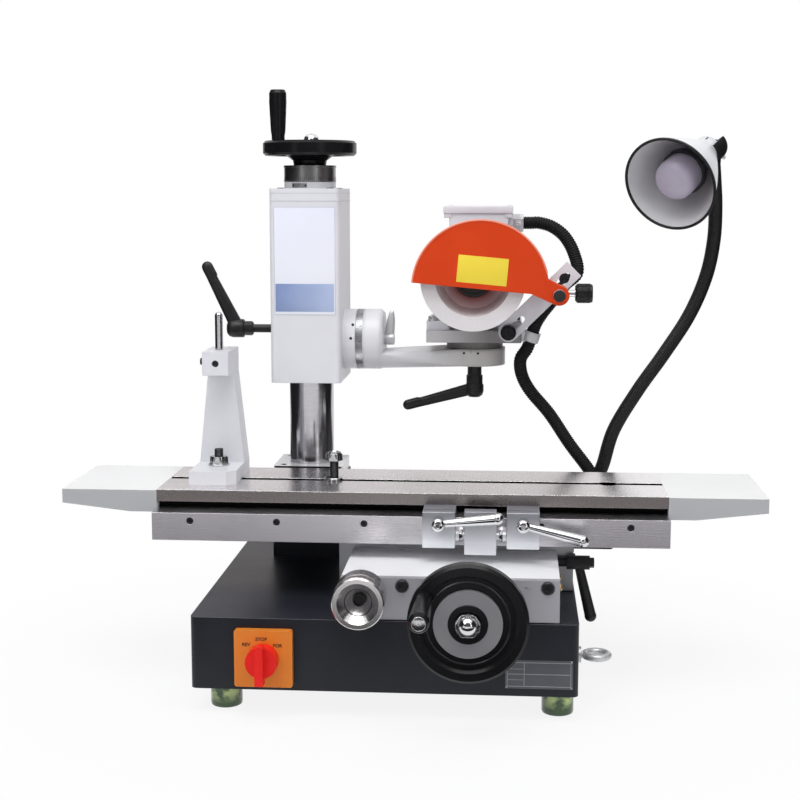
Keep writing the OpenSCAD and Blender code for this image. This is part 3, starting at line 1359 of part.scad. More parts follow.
shade_mid_share = 0.6;
shade_mid_r_share = 0.68;
module lamp_shade() color([0.93, 0.93, 0.94]) {
    mid_l = shade_neck_l + (shade_l - shade_neck_l) * shade_mid_share;
    mid_r = shade_neck_r + (shade_r - shade_neck_r) * shade_mid_r_share;
    along(lamp_at, lamp_dir) rotate_extrude() polygon([
        [0, shade_start], [shade_neck_r, shade_start], [shade_neck_r, shade_neck_l], [mid_r, mid_l],
            [shade_r, shade_l],
        [shade_r - shade_t, shade_l], [mid_r - shade_t, mid_l], [shade_neck_r - shade_t, shade_neck_l],
        [shade_neck_r - shade_t, shade_start + shade_t], [0, shade_start + shade_t]]);
    difference() {
        along(lamp_at, lamp_dir) cylinder(h = shade_start + shade_t / 2, r = shade_stub_r);
        translate(lamp_at + [0, 0, -holder_low - overrun]) cylinder(h = holder_l + 2 * overrun,
            r = holder_r);
    }
}
// Reflector bulb: neck, flare, cylinder and rounded face
bulb_neck_r = 12;
bulb_neck_l = 62;
bulb_full_l = 86;
bulb_face_in = 6;
bulb_round = 10;
bulb_round_share = 0.3;
module lamp_bulb() color([0.97, 0.97, 0.96]) along(lamp_at, lamp_dir) {
    face = shade_l - bulb_face_in;
    rotate_extrude() polygon([
        [0, shade_start + shade_t], [bulb_neck_r, shade_start + shade_t], [bulb_neck_r, bulb_neck_l],
        [bulb_r, bulb_full_l], [bulb_r, face - bulb_round],
        [bulb_r - bulb_round * bulb_round_share, face - bulb_round * bulb_round_share],
        [bulb_r - bulb_round, face], [0, face]]);
}

base_casing();
base_bottom_plate();
levelling_feet();
column_pedestal();
column_plate();
column();
feed_nuts();
switch_plate();
switch_knob();
eye_bolt();
junction_box();
conduit_lower();
saddle();
saddle_apron();
screw_plate();
stop_post();
table_top();
table_beam();
table_wings();
table_rack();
left_dog();
right_dog();
left_dog_lever();
right_dog_lever();
cross_handwheel();
cross_dial();
cross_screw();
cross_grip();
table_knob();
pinion_shaft();
saddle_lock_lever();
tool_post();
post_t_bolt();
rest_rod();
spare_t_bolt();
head_housing();
head_cap();
elevating_handwheel();
elevating_dial();
elevating_screw();
elevating_grip();
column_clamp_lever();
tilt_dial();
arm();
arm_clamp_lever();
swivel_base();
motor();
terminal_box();
guard_bracket();
conduit_fittings();
conduit_upper();
swivel_clamp_lever();
spindle();
grinding_wheel();
wheel_guard();
guard_thumb_screw();
bracket_knob();
gooseneck();
lamp_shade();
lamp_bulb();
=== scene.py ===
"""Looks of the bench tool and cutter grinder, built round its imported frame. Metres, +Z up."""
import math

import bmesh
import bpy
from mathutils import Matrix, Vector


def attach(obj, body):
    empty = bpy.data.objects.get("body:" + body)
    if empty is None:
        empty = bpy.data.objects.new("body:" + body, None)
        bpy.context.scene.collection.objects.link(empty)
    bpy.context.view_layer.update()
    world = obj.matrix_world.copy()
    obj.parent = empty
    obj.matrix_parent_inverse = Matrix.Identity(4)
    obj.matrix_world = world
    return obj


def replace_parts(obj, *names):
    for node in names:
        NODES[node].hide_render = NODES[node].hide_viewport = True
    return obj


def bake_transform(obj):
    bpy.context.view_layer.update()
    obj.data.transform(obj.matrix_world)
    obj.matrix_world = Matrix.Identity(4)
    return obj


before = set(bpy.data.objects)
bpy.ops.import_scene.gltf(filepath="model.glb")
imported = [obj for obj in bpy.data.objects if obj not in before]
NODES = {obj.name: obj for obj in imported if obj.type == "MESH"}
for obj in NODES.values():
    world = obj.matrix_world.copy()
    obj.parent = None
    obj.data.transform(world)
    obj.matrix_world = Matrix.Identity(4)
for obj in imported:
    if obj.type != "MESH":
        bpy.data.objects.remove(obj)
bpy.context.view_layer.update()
MM = 0.001
scene = bpy.context.scene
sin, cos, pi, radians = math.sin, math.cos, math.pi, math.radians
X, Y, Z = Vector((1, 0, 0)), Vector((0, 1, 0)), Vector((0, 0, 1))


def P(x, y, z):
    return Vector((x, y, z)) * MM


# Places are written from the drawing's zero plane, 4 mm over the floor
DATUM = P(0, 0, 4)


def add(name, data):
    ob = bpy.data.objects.new(name, data)
    scene.collection.objects.link(ob)
    return ob


# Axes shared by several pieces, mm
LIFT_X, LIFT_Y = -139, 195
TILT_Y, TILT_Z = 195, 374
SWIVEL_X, SWIVEL_Y = 67, 195
WHEEL_Z = 455.55
PIVOT_X, PIVOT_Z = 168, 437.05
CROSS_X, CROSS_Z = 72, 121
KNOB_X, KNOB_Z = -43, 134
SLOT_Y, POST_X, SPARE_X = 55.5, -231.5, -94
# Black used to paint shade into grooves, slots and holes
PAINTED_SHADE_BLACK = (0.006, 0.006, 0.006)


# Camera
def make_camera():
    yaw, pitch = radians(-4.35), radians(7.88)
    ahead = Vector((sin(yaw) * cos(pitch), cos(yaw) * cos(pitch), -sin(pitch)))
    right = ahead.cross(Z).normalized()
    up = right.cross(ahead)
    data = bpy.data.cameras.new("camera")
    focal_px, picture_px, sensor_mm = 1492.7, 800, 36.0
    data.sensor_fit, data.sensor_width, data.lens = "HORIZONTAL", sensor_mm, focal_px / picture_px * sensor_mm
    data.clip_start, data.clip_end = 0.05, 50.0
    ob = add("camera", data)
    m = Matrix((right, up, -ahead)).transposed().to_4x4()
    m.translation = P(114.8, -1667.2, 555.1) + DATUM
    ob.matrix_world = m
    scene.camera = ob


make_camera()


# Materials
class Nodes:
    """A node tree that is emptied and filled by short steps."""

    def __init__(self, owner, output):
        owner.use_nodes = True
        self.t = owner.node_tree
        self.t.nodes.clear()
        self.out = self.n(output)

    def n(self, kind, **props):
        node = self.t.nodes.new(kind)
        for k, v in props.items():
            setattr(node, k, v)
        return node

    def put(self, socket, value):
        if isinstance(value, bpy.types.NodeSocket):
            self.t.links.new(value, socket)
        elif value is not None:
            socket.default_value = value

    def feed(self, node, *values):
        """Fills a node's inputs in their order."""
        for socket, v in zip(node.inputs, values):
            self.put(socket, v)
        return node.outputs[0]

    def fill(self, node, **values):
        """Fills a node's inputs by name."""
        for k, v in values.items():
            if v is not None:
                self.put(node.inputs[k.replace("_", " ")], v)
        return node.outputs[0]

    def math(self, op, a, b=None, clamp=False):
        return self.feed(self.n("ShaderNodeMath", operation=op, use_clamp=clamp), a, b)

    def vec(self, op, a, b=None):
        node = self.n("ShaderNodeVectorMath", operation=op)
        self.feed(node, a, b)
        return node.outputs["Value" if op in ("LENGTH", "DOT_PRODUCT") else "Vector"]

    def ray(self, kind):
        return self.n("ShaderNodeLightPath").outputs[kind]

    def shade(self, kind, colour, strength=None):
        return self.fill(self.n(kind), Color=(*colour, 1), Strength=strength)

    def show(self, shader):
        self.t.links.new(shader, self.out.inputs["Surface"])

    def show_mix(self, fac, a, b):
        self.show(self.feed(self.n("ShaderNodeMixShader"), fac, a, b))

    def spread(self, value, low, high, to_low=0.0, to_high=1.0):
        return self.feed(self.n("ShaderNodeMapRange"), value, low, high, to_low, to_high)

    def here(self):
        return self.n("ShaderNodeTexCoord").outputs["Object"]


class Mat(Nodes):
    """A node material with a Principled surface."""

    def __init__(self, name):
        self.m = bpy.data.materials.new(name)
        super().__init__(self.m, "ShaderNodeOutputMaterial")
        self.b = self.n("ShaderNodeBsdfPrincipled")
        self.show(self.b.outputs[0])

    def set(self, **values):
        self.fill(self.b, **values)

    def stretched(self, s):
        return self.vec("MULTIPLY", self.here(), s)

    def radius(self, centre, mask):
        v = self.vec("MULTIPLY", self.vec("SUBTRACT", self.here(), centre + DATUM), mask)
        return self.vec("LENGTH", v)

    def noise(self, vector, scale, detail=3.0, rough=0.55, w=None):
        node = self.n("ShaderNodeTexNoise", noise_dimensions="3D" if w is None else "1D")
        return self.fill(node, Vector=vector, W=w, Scale=scale, Detail=detail, Roughness=rough)

    def mix(self, fac, a, b):
        node = self.n("ShaderNodeMix", data_type="RGBA")
        self.put(node.inputs["Factor"], fac)
        for i, c in ((6, a), (7, b)):
            self.put(node.inputs[i], c if isinstance(c, bpy.types.NodeSocket) else (*c, 1.0))
        return node.outputs[2]

    def bump(self, height, depth_mm, normal=None):
        node = self.n("ShaderNodeBump")
        return self.fill(node, Strength=1.0, Distance=depth_mm * MM, Height=height, Normal=normal)

    def rounded(self, r_mm):
        return self.fill(self.n("ShaderNodeBevel", samples=4), Radius=r_mm * MM)

    def part(self, axis):
        node = self.n("ShaderNodeSeparateXYZ")
        self.put(node.inputs[0], self.here())
        return node.outputs[axis]

    def between(self, axis, low, high, soft=0.05):
        value = self.part(axis)
        return self.math("MULTIPLY", self.spread(value, (low - soft) * MM, (low + soft) * MM),
                         self.spread(value, (high + soft) * MM, (high - soft) * MM))

    def facing(self, direction):
        normal = self.n("ShaderNodeNewGeometry").outputs["Normal"]
        return self.spread(self.vec("DOT_PRODUCT", normal, direction), 0.75, 0.9)

    def turned(self, soft):
        flat = self.n("ShaderNodeNewGeometry").outputs["Normal"]
        return self.math("SUBTRACT", 1.0, self.vec("DOT_PRODUCT", soft, flat))

    # Mask of softened edges facing upward, where surface() paints highlights
    def crest(self, r_mm):
        soft = self.rounded(r_mm)
        upward = self.spread(self.vec("DOT_PRODUCT", soft, (0, 0, 1)), 0.25, 0.5)
        return self.math("MULTIPLY", self.spread(self.turned(soft), 0.02, 0.2), upward)

    def edges(self, r_mm):
        return self.spread(self.turned(self.rounded(r_mm)), 0.02, 0.35)


def scaled(c, k):
    return tuple(min(1.0, max(0.0, v * k)) for v in c)


def surface(name, colour, rough, metal, tone, grain, depth, round_mm, coat=0.0, coat_rough=0.1,
            tone_scale=16.0, stretch=None, ring=None, wear=None, wear_mm=0.9, streak=0.0, spec=None,
            front=None, dark_bands=(), fades=(), rim=None, holes=()):
    """Paint, plastic or metal: broad tone, fine grain in bump and roughness, softened and worn edges. Some
    looks also paint light and shade into the colour: painted shade on faces turned to -Y, painted highlights
    on upward edges, painted shade as black bands and holes, and colour ramps along an axis, some of them
    painted shade.
    """
    m = Mat(name)
    broad = m.noise(m.here(), tone_scale, 4.0)
    if ring:
        fine = m.noise(None, grain, 2.0, 0.6, w=m.radius(*ring))
    else:
        fine = m.noise(m.stretched(stretch) if stretch else m.here(), grain, 3.0)
    k = m.spread(broad, 0.3, 0.7)
    col = m.mix(k, scaled(colour, 1 - tone), scaled(colour, 1 + tone))
    if streak:
        s = m.spread(fine, 0.3, 0.7)
        col = m.mix(m.math("MULTIPLY", s, streak), col, scaled(colour, 0.55))
    for axis, low, high, other in fades:
        col = m.mix(m.spread(m.part(axis), low * MM, high * MM), col, other)
    # Faces turned to -Y take the darker front colour: painted shade on front faces (a painted dark reflection
    # on the table top)
    if front:
        col = m.mix(m.facing((0, -1, 0)), col, front)
    # Upward-facing softened edges take the rim colour: a painted highlight
    if rim:
        col = m.mix(m.math("MULTIPLY", m.crest(rim[1]), rim[2]), col, rim[0])
    if wear:
        e = m.edges(wear_mm)
        chips = m.spread(m.noise(m.here(), 260.0, 5.0, 0.7), 0.42, 0.62)
        bare = wear[0] if isinstance(wear[0], tuple) else (wear[0],) * 3
        col = m.mix(m.math("MULTIPLY", m.math("MULTIPLY", e, chips), wear[1]), col, bare)
    # Bands painted black: painted shade inside the table's groove and T-slot
    for bands in dark_bands:
        inside = None
        for axis, low, high in bands:
            k = m.between(axis, low, high)
            inside = k if inside is None else m.math("MULTIPLY", inside, k)
        col = m.mix(inside, col, PAINTED_SHADE_BLACK)
    # Holes painted black below a given depth: painted shade inside a hole in the surface
    for centre, reach, below in holes:
        inside = m.math("MULTIPLY", m.spread(m.radius(centre, (1, 1, 0)), (reach + 0.05) * MM, reach * MM),
                        m.spread(m.part(2), below * MM, (below - 0.1) * MM))
        col = m.mix(inside, col, PAINTED_SHADE_BLACK)
    r = m.spread(m.math("ADD", m.math("MULTIPLY", broad, 0.5), m.math("MULTIPLY", fine, 0.5)), 0.3, 0.7,
                 max(0.02, rough - 0.06), min(1.0, rough + 0.06))
    m.set(Base_Color=col, Metallic=metal, Roughness=r, Normal=m.bump(fine, depth, m.rounded(round_mm)))
    m.set(Coat_Weight=coat, Coat_Roughness=coat_rough, Specular_IOR_Level=spec)
    return m.m


# Name, colour, roughness, metal, tone change, grain scale, grain depth and edge radius (mm), extras
LOOKS = {
    # dark: rim lightens the base's upward top edges, a painted highlight
    "dark": ("dark_paint", (0.013, 0.0145, 0.021), 0.36, 0.0, 0.16, 420, 0.03, 0.9,
        dict(spec=0.3, wear=((0.07, 0.07, 0.085), 0.4), rim=((0.34, 0.34, 0.38), 1.0, 0.75))),
    "white": ("white_paint", (0.755, 0.755, 0.79), 0.36, 0.0, 0.025, 520, 0.028, 1.2,
        dict(coat=0.12, coat_rough=0.2, wear=(0.6, 0.4))),
    # apron: its upward faces are a brighter white than the other white paint, painted light under the beam;
    # faces turned to -Y are darker, painted shade
    "apron": ("apron_paint", (0.95, 0.95, 0.96), 0.36, 0.0, 0.02, 520, 0.02, 0.9,
        dict(coat=0.12, coat_rough=0.2, front=(0.56, 0.555, 0.585), wear=(0.7, 0.3))),
    # arm: colour ramps to a darker warm grey toward +X, painted shade over the pad end
    "arm": ("cast_paint", (0.73, 0.73, 0.755), 0.38, 0.0, 0.03, 520, 0.028, 7.0,
        dict(coat=0.12, coat_rough=0.2, wear=(0.6, 0.3), fades=((0, -30, 75, (0.51, 0.49, 0.47)),))),
    # wing: faces turned to -Y are a mid grey under the lit top, painted shade
    "wing": ("wing_paint", (0.87, 0.87, 0.86), 0.5, 0.0, 0.02, 700, 0.02, 0.8,
        dict(front=(0.455, 0.46, 0.465), spec=0.3, wear=((0.6, 0.6, 0.58), 0.3))),
    # top: the front colour is a painted dark reflection on the front strip; rim is a painted highlight on the
    # top front edge; the black bands and hole are painted shade in the groove, the T-slot and its entry hole
    "top": ("ground_top", (0.89, 0.865, 0.87), 0.27, 1.0, 0.08, 60, 0.006, 0.6,
        dict(tone_scale=9, stretch=(45.0, 0.5, 45.0), streak=0.25, front=(0.27, 0.245, 0.24),
        rim=((0.97, 0.96, 0.96), 1.6, 0.9), dark_bands=(((1, -16.5, 128), (2, 202.4, 210.5)),
        ((1, 49.4, 61.6), (2, 190, 223.4))), holes=((P(227, SLOT_Y, 0), 14.0, 223.6),))),
    "beam": ("ground_beam", (0.71, 0.695, 0.73), 0.29, 1.0, 0.05, 60, 0.005, 0.7,
        dict(tone_scale=7, stretch=(0.6, 40.0, 40.0), streak=0.15, wear=(0.8, 0.5))),
    "cast": ("machined_grey", (0.52, 0.525, 0.545), 0.34, 0.85, 0.07, 500, 0.02, 0.6, dict(wear=(0.7, 0.6))),
    # dogs: colour darkens toward the top, a painted dark reflection; rim is a painted highlight on their
    # upper edges
    "dog": ("bright_dog", (0.93, 0.945, 0.99), 0.36, 0.3, 0.02, 300, 0.003, 1.0,
        dict(fades=((2, 178, 206, (0.27, 0.27, 0.30)),), rim=((0.95, 0.95, 0.97), 1.4, 0.9))),
    # disc: the first fade darkens the colour toward +X, painted shade on the right side; the second fade is
    # the darker disc band below the plate
    "disc": ("ground_disc", (0.62, 0.605, 0.61), 0.42, 0.25, 0.06, 40, 0.006, 0.4,
        dict(stretch=(2, 2, 60), streak=0.15,
        fades=((0, 25, 85, (0.25, 0.24, 0.235)), (2, 380, 378.6, (0.22, 0.21, 0.20))))),
    "leaf": ("satin_steel", (0.66, 0.66, 0.665), 0.42, 0.55, 0.03, 300, 0.004, 0.6, {}),
    "plate": ("plate_grey", (0.43, 0.425, 0.455), 0.42, 0.3, 0.05, 600, 0.012, 0.5, dict(wear=(0.7, 0.5))),
    # flange: faces turned to -Y are near black, painted shade on the column plate's front
    "flange": ("ground_flange", (0.86, 0.86, 0.87), 0.34, 0.45, 0.06, 400, 0.008, 0.5,
        dict(front=(0.02, 0.02, 0.02), wear=(0.8, 0.6))),
    "column": ("ground_column", (0.56, 0.55, 0.575), 0.13, 1.0, 0.05, 40, 0.004, 0.3,
        dict(stretch=(2, 2, 60), streak=0.25)),
    "ring_z": ("turned_z", (0.36, 0.355, 0.36), 0.33, 1.0, 0.08, 40, 0.006, 0.4,
        dict(stretch=(2, 2, 60), streak=0.35, wear=(0.7, 0.7))),
    "ring_x": ("turned_x", (0.36, 0.365, 0.38), 0.36, 0.9, 0.08, 40, 0.006, 0.4,
        dict(stretch=(60, 2, 2), streak=0.3, wear=(0.66, 0.6))),
    "face_y": ("turned_face", (0.235, 0.23, 0.24), 0.45, 0.2, 0.05, 900, 0.006, 0.3,
        dict(ring=(P(CROSS_X, 0, CROSS_Z), (1, 0, 1)), streak=0.15)),
    "knob": ("turned_knob", (0.80, 0.775, 0.775), 0.2, 1.0, 0.05, 800, 0.006, 0.5,
        dict(ring=(P(KNOB_X, 0, KNOB_Z), (1, 0, 1)), streak=0.25)),
    "steel": ("bright_steel", (0.60, 0.60, 0.61), 0.2, 1.0, 0.07, 600, 0.008, 0.4, dict(streak=0.15)),
    "iron": ("dull_iron", (0.35, 0.35, 0.36), 0.45, 0.85, 0.12, 500, 0.02, 0.4, dict(wear=(0.6, 0.6))),
    "hub": ("dark_hub", (0.035, 0.03, 0.028), 0.4, 0.6, 0.12, 500, 0.02, 0.4,
        dict(wear=((0.25, 0.24, 0.24), 0.5))),
    "chrome": ("chrome", (0.72, 0.72, 0.73), 0.07, 1.0, 0.03, 300, 0.003, 0.4, {}),
    "black": ("black_gloss", (0.008, 0.008, 0.009), 0.24, 0.0, 0.2, 650, 0.012, 0.7,
        dict(wear=(0.05, 0.6), spec=0.17)),
    "bead": ("black_bead", (0.05, 0.05, 0.055), 0.16, 0.7, 0.1, 600, 0.004, 0.4, {}),
    "lever": ("black_lever", (0.012, 0.012, 0.013), 0.4, 0.0, 0.2, 900, 0.03, 0.6,
        dict(wear=(0.07, 0.6), spec=0.35)),
    "hose": ("black_hose", (0.010, 0.010, 0.011), 0.6, 0.0, 0.25, 500, 0.01, 0.2, dict(spec=0.2)),
    "neck": ("black_neck", (0.009, 0.009, 0.010), 0.45, 0.0, 0.2, 500, 0.015, 0.2, dict(spec=0.35)),
    "dark_steel": ("blackened_steel", (0.035, 0.035, 0.038), 0.38, 0.8, 0.15, 500, 0.015, 0.3,
        dict(wear=(0.25, 0.6))),
    "ink": ("black_ink", (0.015, 0.015, 0.016), 0.6, 0.0, 0.1, 900, 0.004, 0.05, {}),
    "switch": ("switch_orange", (0.76, 0.225, 0.024), 0.38, 0.0, 0.05, 900, 0.01, 0.5,
        dict(spec=0.3, wear=((0.90, 0.55, 0.22), 0.8), wear_mm=1.4)),
    "red": ("switch_red", (0.86, 0.018, 0.014), 0.34, 0.0, 0.06, 900, 0.008, 0.7, dict(spec=0.2)),
    # guard: rim is a painted highlight along its upper edges; the edge look below colours the rolled bead a
    # lighter orange, also a painted highlight
    "guard": ("guard_orange", (0.67, 0.052, 0.007), 0.34, 0.0, 0.05, 480, 0.02, 0.9,
        dict(spec=0.2, rim=((0.95, 0.40, 0.28), 2.6, 0.7), wear=((0.86, 0.22, 0.11), 0.7))),
    "guard_edge": ("guard_edge", (0.90, 0.26, 0.16), 0.32, 0.0, 0.05, 480, 0.01, 0.3, dict(spec=0.4)),
    "patch": ("yellow_patch", (0.86, 0.66, 0.06), 0.5, 0.0, 0.05, 900, 0.006, 0.1, dict(spec=0.2)),
    "panel": ("lilac_panel", (0.83, 0.845, 0.955), 0.32, 0.0, 0.015, 900, 0.005, 0.1,
        dict(coat=0.1, fades=((2, 545, 470, (0.88, 0.90, 0.97)),))),
    "silver": ("silver_plate", (0.105, 0.107, 0.125), 0.42, 0.4, 0.12, 60, 0.005, 0.1,
        dict(stretch=(1, 40, 40), streak=0.2)),
    "seam": ("seam_grey", (0.58, 0.58, 0.62), 0.4, 0.0, 0.03, 900, 0.004, 0.1, {}),
    "line": ("panel_line", (0.46, 0.47, 0.53), 0.4, 0.0, 0.03, 900, 0.004, 0.1, {}),
    "brass": ("brass", (0.62, 0.42, 0.16), 0.28, 1.0, 0.1, 600, 0.008, 0.3, {}),
    "shade_out": ("shade_white", (0.76, 0.76, 0.78), 0.34, 0.0, 0.02, 500, 0.012, 0.2, dict(coat=0.3)),
    "shade_in": ("shade_grey", (0.66, 0.65, 0.67), 0.42, 0.0, 0.03, 500, 0.012, 0.2, {}),
}
M = {key: surface(*look[:-1], **look[-1]) for key, look in LOOKS.items()}


def blue_band():
    """Printed band on the panel: pale blue, deeper at its left end."""
    m = Mat("blue_band")
    k = m.spread(m.part(0), -176 * MM, -108 * MM)
    wave = m.noise(m.here(), 45.0, 3.0)
    k = m.math("ADD", k, m.math("MULTIPLY", m.math("SUBTRACT", wave, 0.5), 0.5), True)
    m.set(Base_Color=m.mix(k, (0.22, 0.30, 0.53), (0.44, 0.52, 0.74)), Roughness=0.34, Coat_Weight=0.15,
        Coat_Roughness=0.1)
    m.set(Normal=m.bump(m.noise(m.here(), 900.0, 2.0), 0.004))
    return m.m


def wheel_stone():
    """Vitrified white abrasive with open grain. Inside the cup the colour is painted pink, going maroon near
    the centre: painted red light bounced from the guard and painted shade deep in the recess.
    """
    m = Mat("abrasive")
    r = m.radius(P(SWIVEL_X, 0, WHEEL_Z), (1, 0, 1))
    # Masks for the inside of the cup, where red bounce light and shade are painted
    inside = m.spread(r, 0.0470, 0.0370)
    recess_shade = m.spread(r, 0.0390, 0.0250)
    grain = m.noise(m.here(), 1500.0, 6.0, 0.75)
    cell = m.n("ShaderNodeTexVoronoi")
    m.fill(cell, Vector=m.here(), Scale=900.0)
    pale = m.mix(m.spread(grain, 0.3, 0.7), (0.70, 0.67, 0.675), (0.84, 0.815, 0.82))
    guard_bounce_tint = m.mix(m.spread(grain, 0.3, 0.7), (0.80, 0.58, 0.58), (0.88, 0.70, 0.70))
    guard_bounce_tint = m.mix(recess_shade, guard_bounce_tint, (0.36, 0.11, 0.11))
    m.set(Base_Color=m.mix(inside, pale, guard_bounce_tint), Roughness=0.86, Specular_IOR_Level=0.25)
    height = m.math("ADD", m.math("MULTIPLY", cell.outputs["Distance"], 0.6), grain)
    m.set(Normal=m.bump(height, 0.16, m.rounded(0.8)))
    return m.m


def foot_green():
    """Clear green moulded foot pads with a soft surface. Yellow-green patches, fading out toward the bottom,
    are painted highlights.
    """
    m = Mat("foot_green")
    # Painted highlights: noise patches of yellow-green, only on the upper part
    k = m.spread(m.noise(m.here(), 62.0, 3.0, 0.5), 0.44, 0.56)
    k = m.math("MULTIPLY", k, m.spread(m.part(2), 5 * MM, 17 * MM))
    m.set(Base_Color=m.mix(k, (0.022, 0.085, 0.010), (0.56, 0.70, 0.26)), Roughness=0.08, Coat_Weight=0.6,
        Coat_Roughness=0.03)
    m.set(Subsurface_Weight=0.25, Subsurface_Radius=(0.004, 0.009, 0.002), Subsurface_Scale=0.6)
    m.set(Normal=m.bump(m.noise(m.here(), 300.0, 2.0), 0.06, m.rounded(0.8)))
    return m.m


def opal():
    """Opal glass of the bulb."""
    m = Mat("opal_glass")
    k = m.spread(m.noise(m.here(), 30.0, 3.0), 0.3, 0.7)
    m.set(Base_Color=m.mix(k, (0.44, 0.40, 0.50), (0.50, 0.46, 0.55)), Roughness=0.25, Coat_Weight=0.3,
        Coat_Roughness=0.05)
    m.set(Subsurface_Weight=0.3, Subsurface_Radius=(0.01, 0.01, 0.01), Subsurface_Scale=0.8)
    return m.m


M.update(blue=blue_band(), stone=wheel_stone(), green=foot_green(), opal=opal())

DRESS = {
    "dark": "base_casing base_bottom_plate column_pedestal", "flange": "column_plate", "column": "column",
    "white": "tool_post head_housing head_cap motor terminal_box guard_bracket", "apron": "saddle_apron",
    "wing": "table_wings", "top": "table_top", "beam": "table_beam", "cast": "saddle", "disc": "swivel_base",
    "dog": "stop_post left_dog right_dog", "plate": "screw_plate", "arm": "arm", "ring_x": "tilt_dial",
    "ring_z": "elevating_dial elevating_screw", "face_y": "cross_dial", "knob": "table_knob",
    "steel": "rest_rod pinion_shaft table_rack", "leaf": "conduit_fittings eye_bolt", "hub": "spindle",
    "chrome": "left_dog_lever right_dog_lever cross_screw arm_clamp_lever",
    "black": "cross_handwheel cross_grip elevating_handwheel elevating_grip guard_thumb_screw bracket_knob "
             "junction_box",
    "lever": "column_clamp_lever swivel_clamp_lever saddle_lock_lever", "green": "levelling_feet",
    "dark_steel": "post_t_bolt spare_t_bolt", "switch": "switch_plate", "red": "switch_knob",
    "guard": "wheel_guard", "stone": "grinding_wheel", "brass": "feed_nuts", "neck": "gooseneck",
    "hose": "conduit_upper conduit_lower", "shade_out": "lamp_shade", "opal": "lamp_bulb",
}
for key, names in DRESS.items():
    for n in names.split():
        mesh = NODES[n].data
        mesh.materials.clear()
        mesh.materials.append(M[key])


class Work:
    """Holds the open mesh."""
    bm = bmesh.new()


def vert(co):
    return Work.bm.verts.new(co)


def face(verts, mat=0):
    Work.bm.faces.new(verts).material_index = mat


def ring(m, radii, t):
    """Closed ring of points about the Z axis of m, one for each radius."""
    n = len(radii)
    return [vert(m @ P(r * cos(2 * pi * k / n), r * sin(2 * pi * k / n), t)) for k, r in enumerate(radii)]


def skin(rows):
    """Faces between rings of equal count."""
    for a, b in zip(rows, rows[1:]):
        n = len(a)
        for k in range(n):
            face((a[k], a[(k + 1) % n], b[(k + 1) % n], b[k]))


def piece(name, keys, body, smooth=35.0):
    """Closes the open mesh as an object with materials and, if given, a body."""
    bm, Work.bm = Work.bm, bmesh.new()
    bmesh.ops.recalc_face_normals(bm, faces=bm.faces)
    bmesh.ops.translate(bm, verts=bm.verts, vec=DATUM)
    me = bpy.data.meshes.new(name)
    bm.to_mesh(me)
    bm.free()
    for key in keys.split():
        me.materials.append(M[key])
    me.shade_smooth()
    me.set_sharp_from_angle(angle=radians(smooth))
    ob = add(name, me)
    if body:
        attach(ob, body)
    return ob


def turn_to(axis, at):
    m = Z.rotation_difference(Vector(axis).normalized()).to_matrix().to_4x4()
    m.translation = at
    return m


def lathe(profile, at, axis, seg=48, mat=0, closed=False):
    """Revolves (r, t) points in mm about axis through at. A radius of 0 closes the end."""
    m = turn_to(axis, at)
    rows = [ring(m, [r] * seg, t) if r > 1e-6 else [vert(m @ P(0, 0, t))] for r, t in profile]
    for a, b in list(zip(rows, rows[1:])) + ([(rows[-1], rows[0])] if closed else []):
        for k in range(seg):
            j = (k + 1) % seg
            if len(a) == 1:
                face((a[0], b[j], b[k]), mat)
            elif len(b) == 1:
                face((a[k], a[j], b[0]), mat)
            else:
                face((a[k], a[j], b[j], b[k]), mat)


def box(lo, hi, mat=0, bevel=0.0, matrix=None):
    """Box between two corners in mm, with its edges bevelled."""
    made = bmesh.ops.create_cube(Work.bm, size=1.0)["verts"]
    c = [(a + b) / 2 for a, b in zip(lo, hi)]
    s = [b - a for a, b in zip(lo, hi)]
    for v in made:
        v.co = P(c[0] + v.co.x * s[0], c[1] + v.co.y * s[1], c[2] + v.co.z * s[2])
        if matrix:
            v.co = matrix @ v.co
    for f in {f for v in made for f in v.link_faces}:
        f.material_index = mat
    if bevel:
        edges = list(dict.fromkeys(e for v in made for e in v.link_edges))
        bmesh.ops.bevel(Work.bm, geom=edges, offset=bevel * MM, segments=2, affect="EDGES", profile=0.6,
                        clamp_overlap=True)


def spins(at, axis, count):
    """Frames set evenly about axis through at."""
    return [turn_to(axis, at) @ Matrix.Rotation(2 * pi * k / count, 4, "Z") for k in range(count)]


def boxes_round(at, axis, count, lo, hi, mat=0, bevel=0.0):
    for spin in spins(at, axis, count):
        box(lo, hi, mat, bevel, spin)


def hexagon(r, seg):
    """Radii of a six-sided outline, r across its corners."""
    return [r * cos(pi / 6) / cos(((2 * pi * k / seg) % (pi / 3)) - pi / 6) for k in range(seg)]


def socket_screw(at, axis, r, h, seg=36):
    """Cap screw head: bevelled rim and a six-sided socket."""
    m = turn_to(axis, at)
    key, deep, c = 0.52 * r, 0.55 * h, 0.12 * r
    hole = hexagon(key, seg)
    rows = [ring(m, radii, t) for radii, t in (
        ([r] * seg, 0), ([r] * seg, h - c), ([r - c] * seg, h), ([v * 1.08 for v in hole], h),
        (hole, h - 0.06 * r), (hole, h - deep))]
    skin(rows)
    face(rows[-1])


def hex_head(at, axis, r, h, seg=36):
    """Chamfered six-sided bolt head or nut, r across its corners."""
    m = turn_to(axis, at)
    edge = hexagon(r, seg)
    chamfer = 0.9 * r * cos(pi / 12)
    rows = [ring(m, edge, 0), ring(m, edge, h - 0.16 * r), ring(m, [min(e, chamfer) for e in edge], h)]
    skin(rows)
    face(rows[-1])


def rivet(at, axis, r, mat=0):
    lathe([(r, 0), (r * 0.95, r * 0.25), (r * 0.6, r * 0.55), (0, r * 0.68)], at, axis, 16, mat)


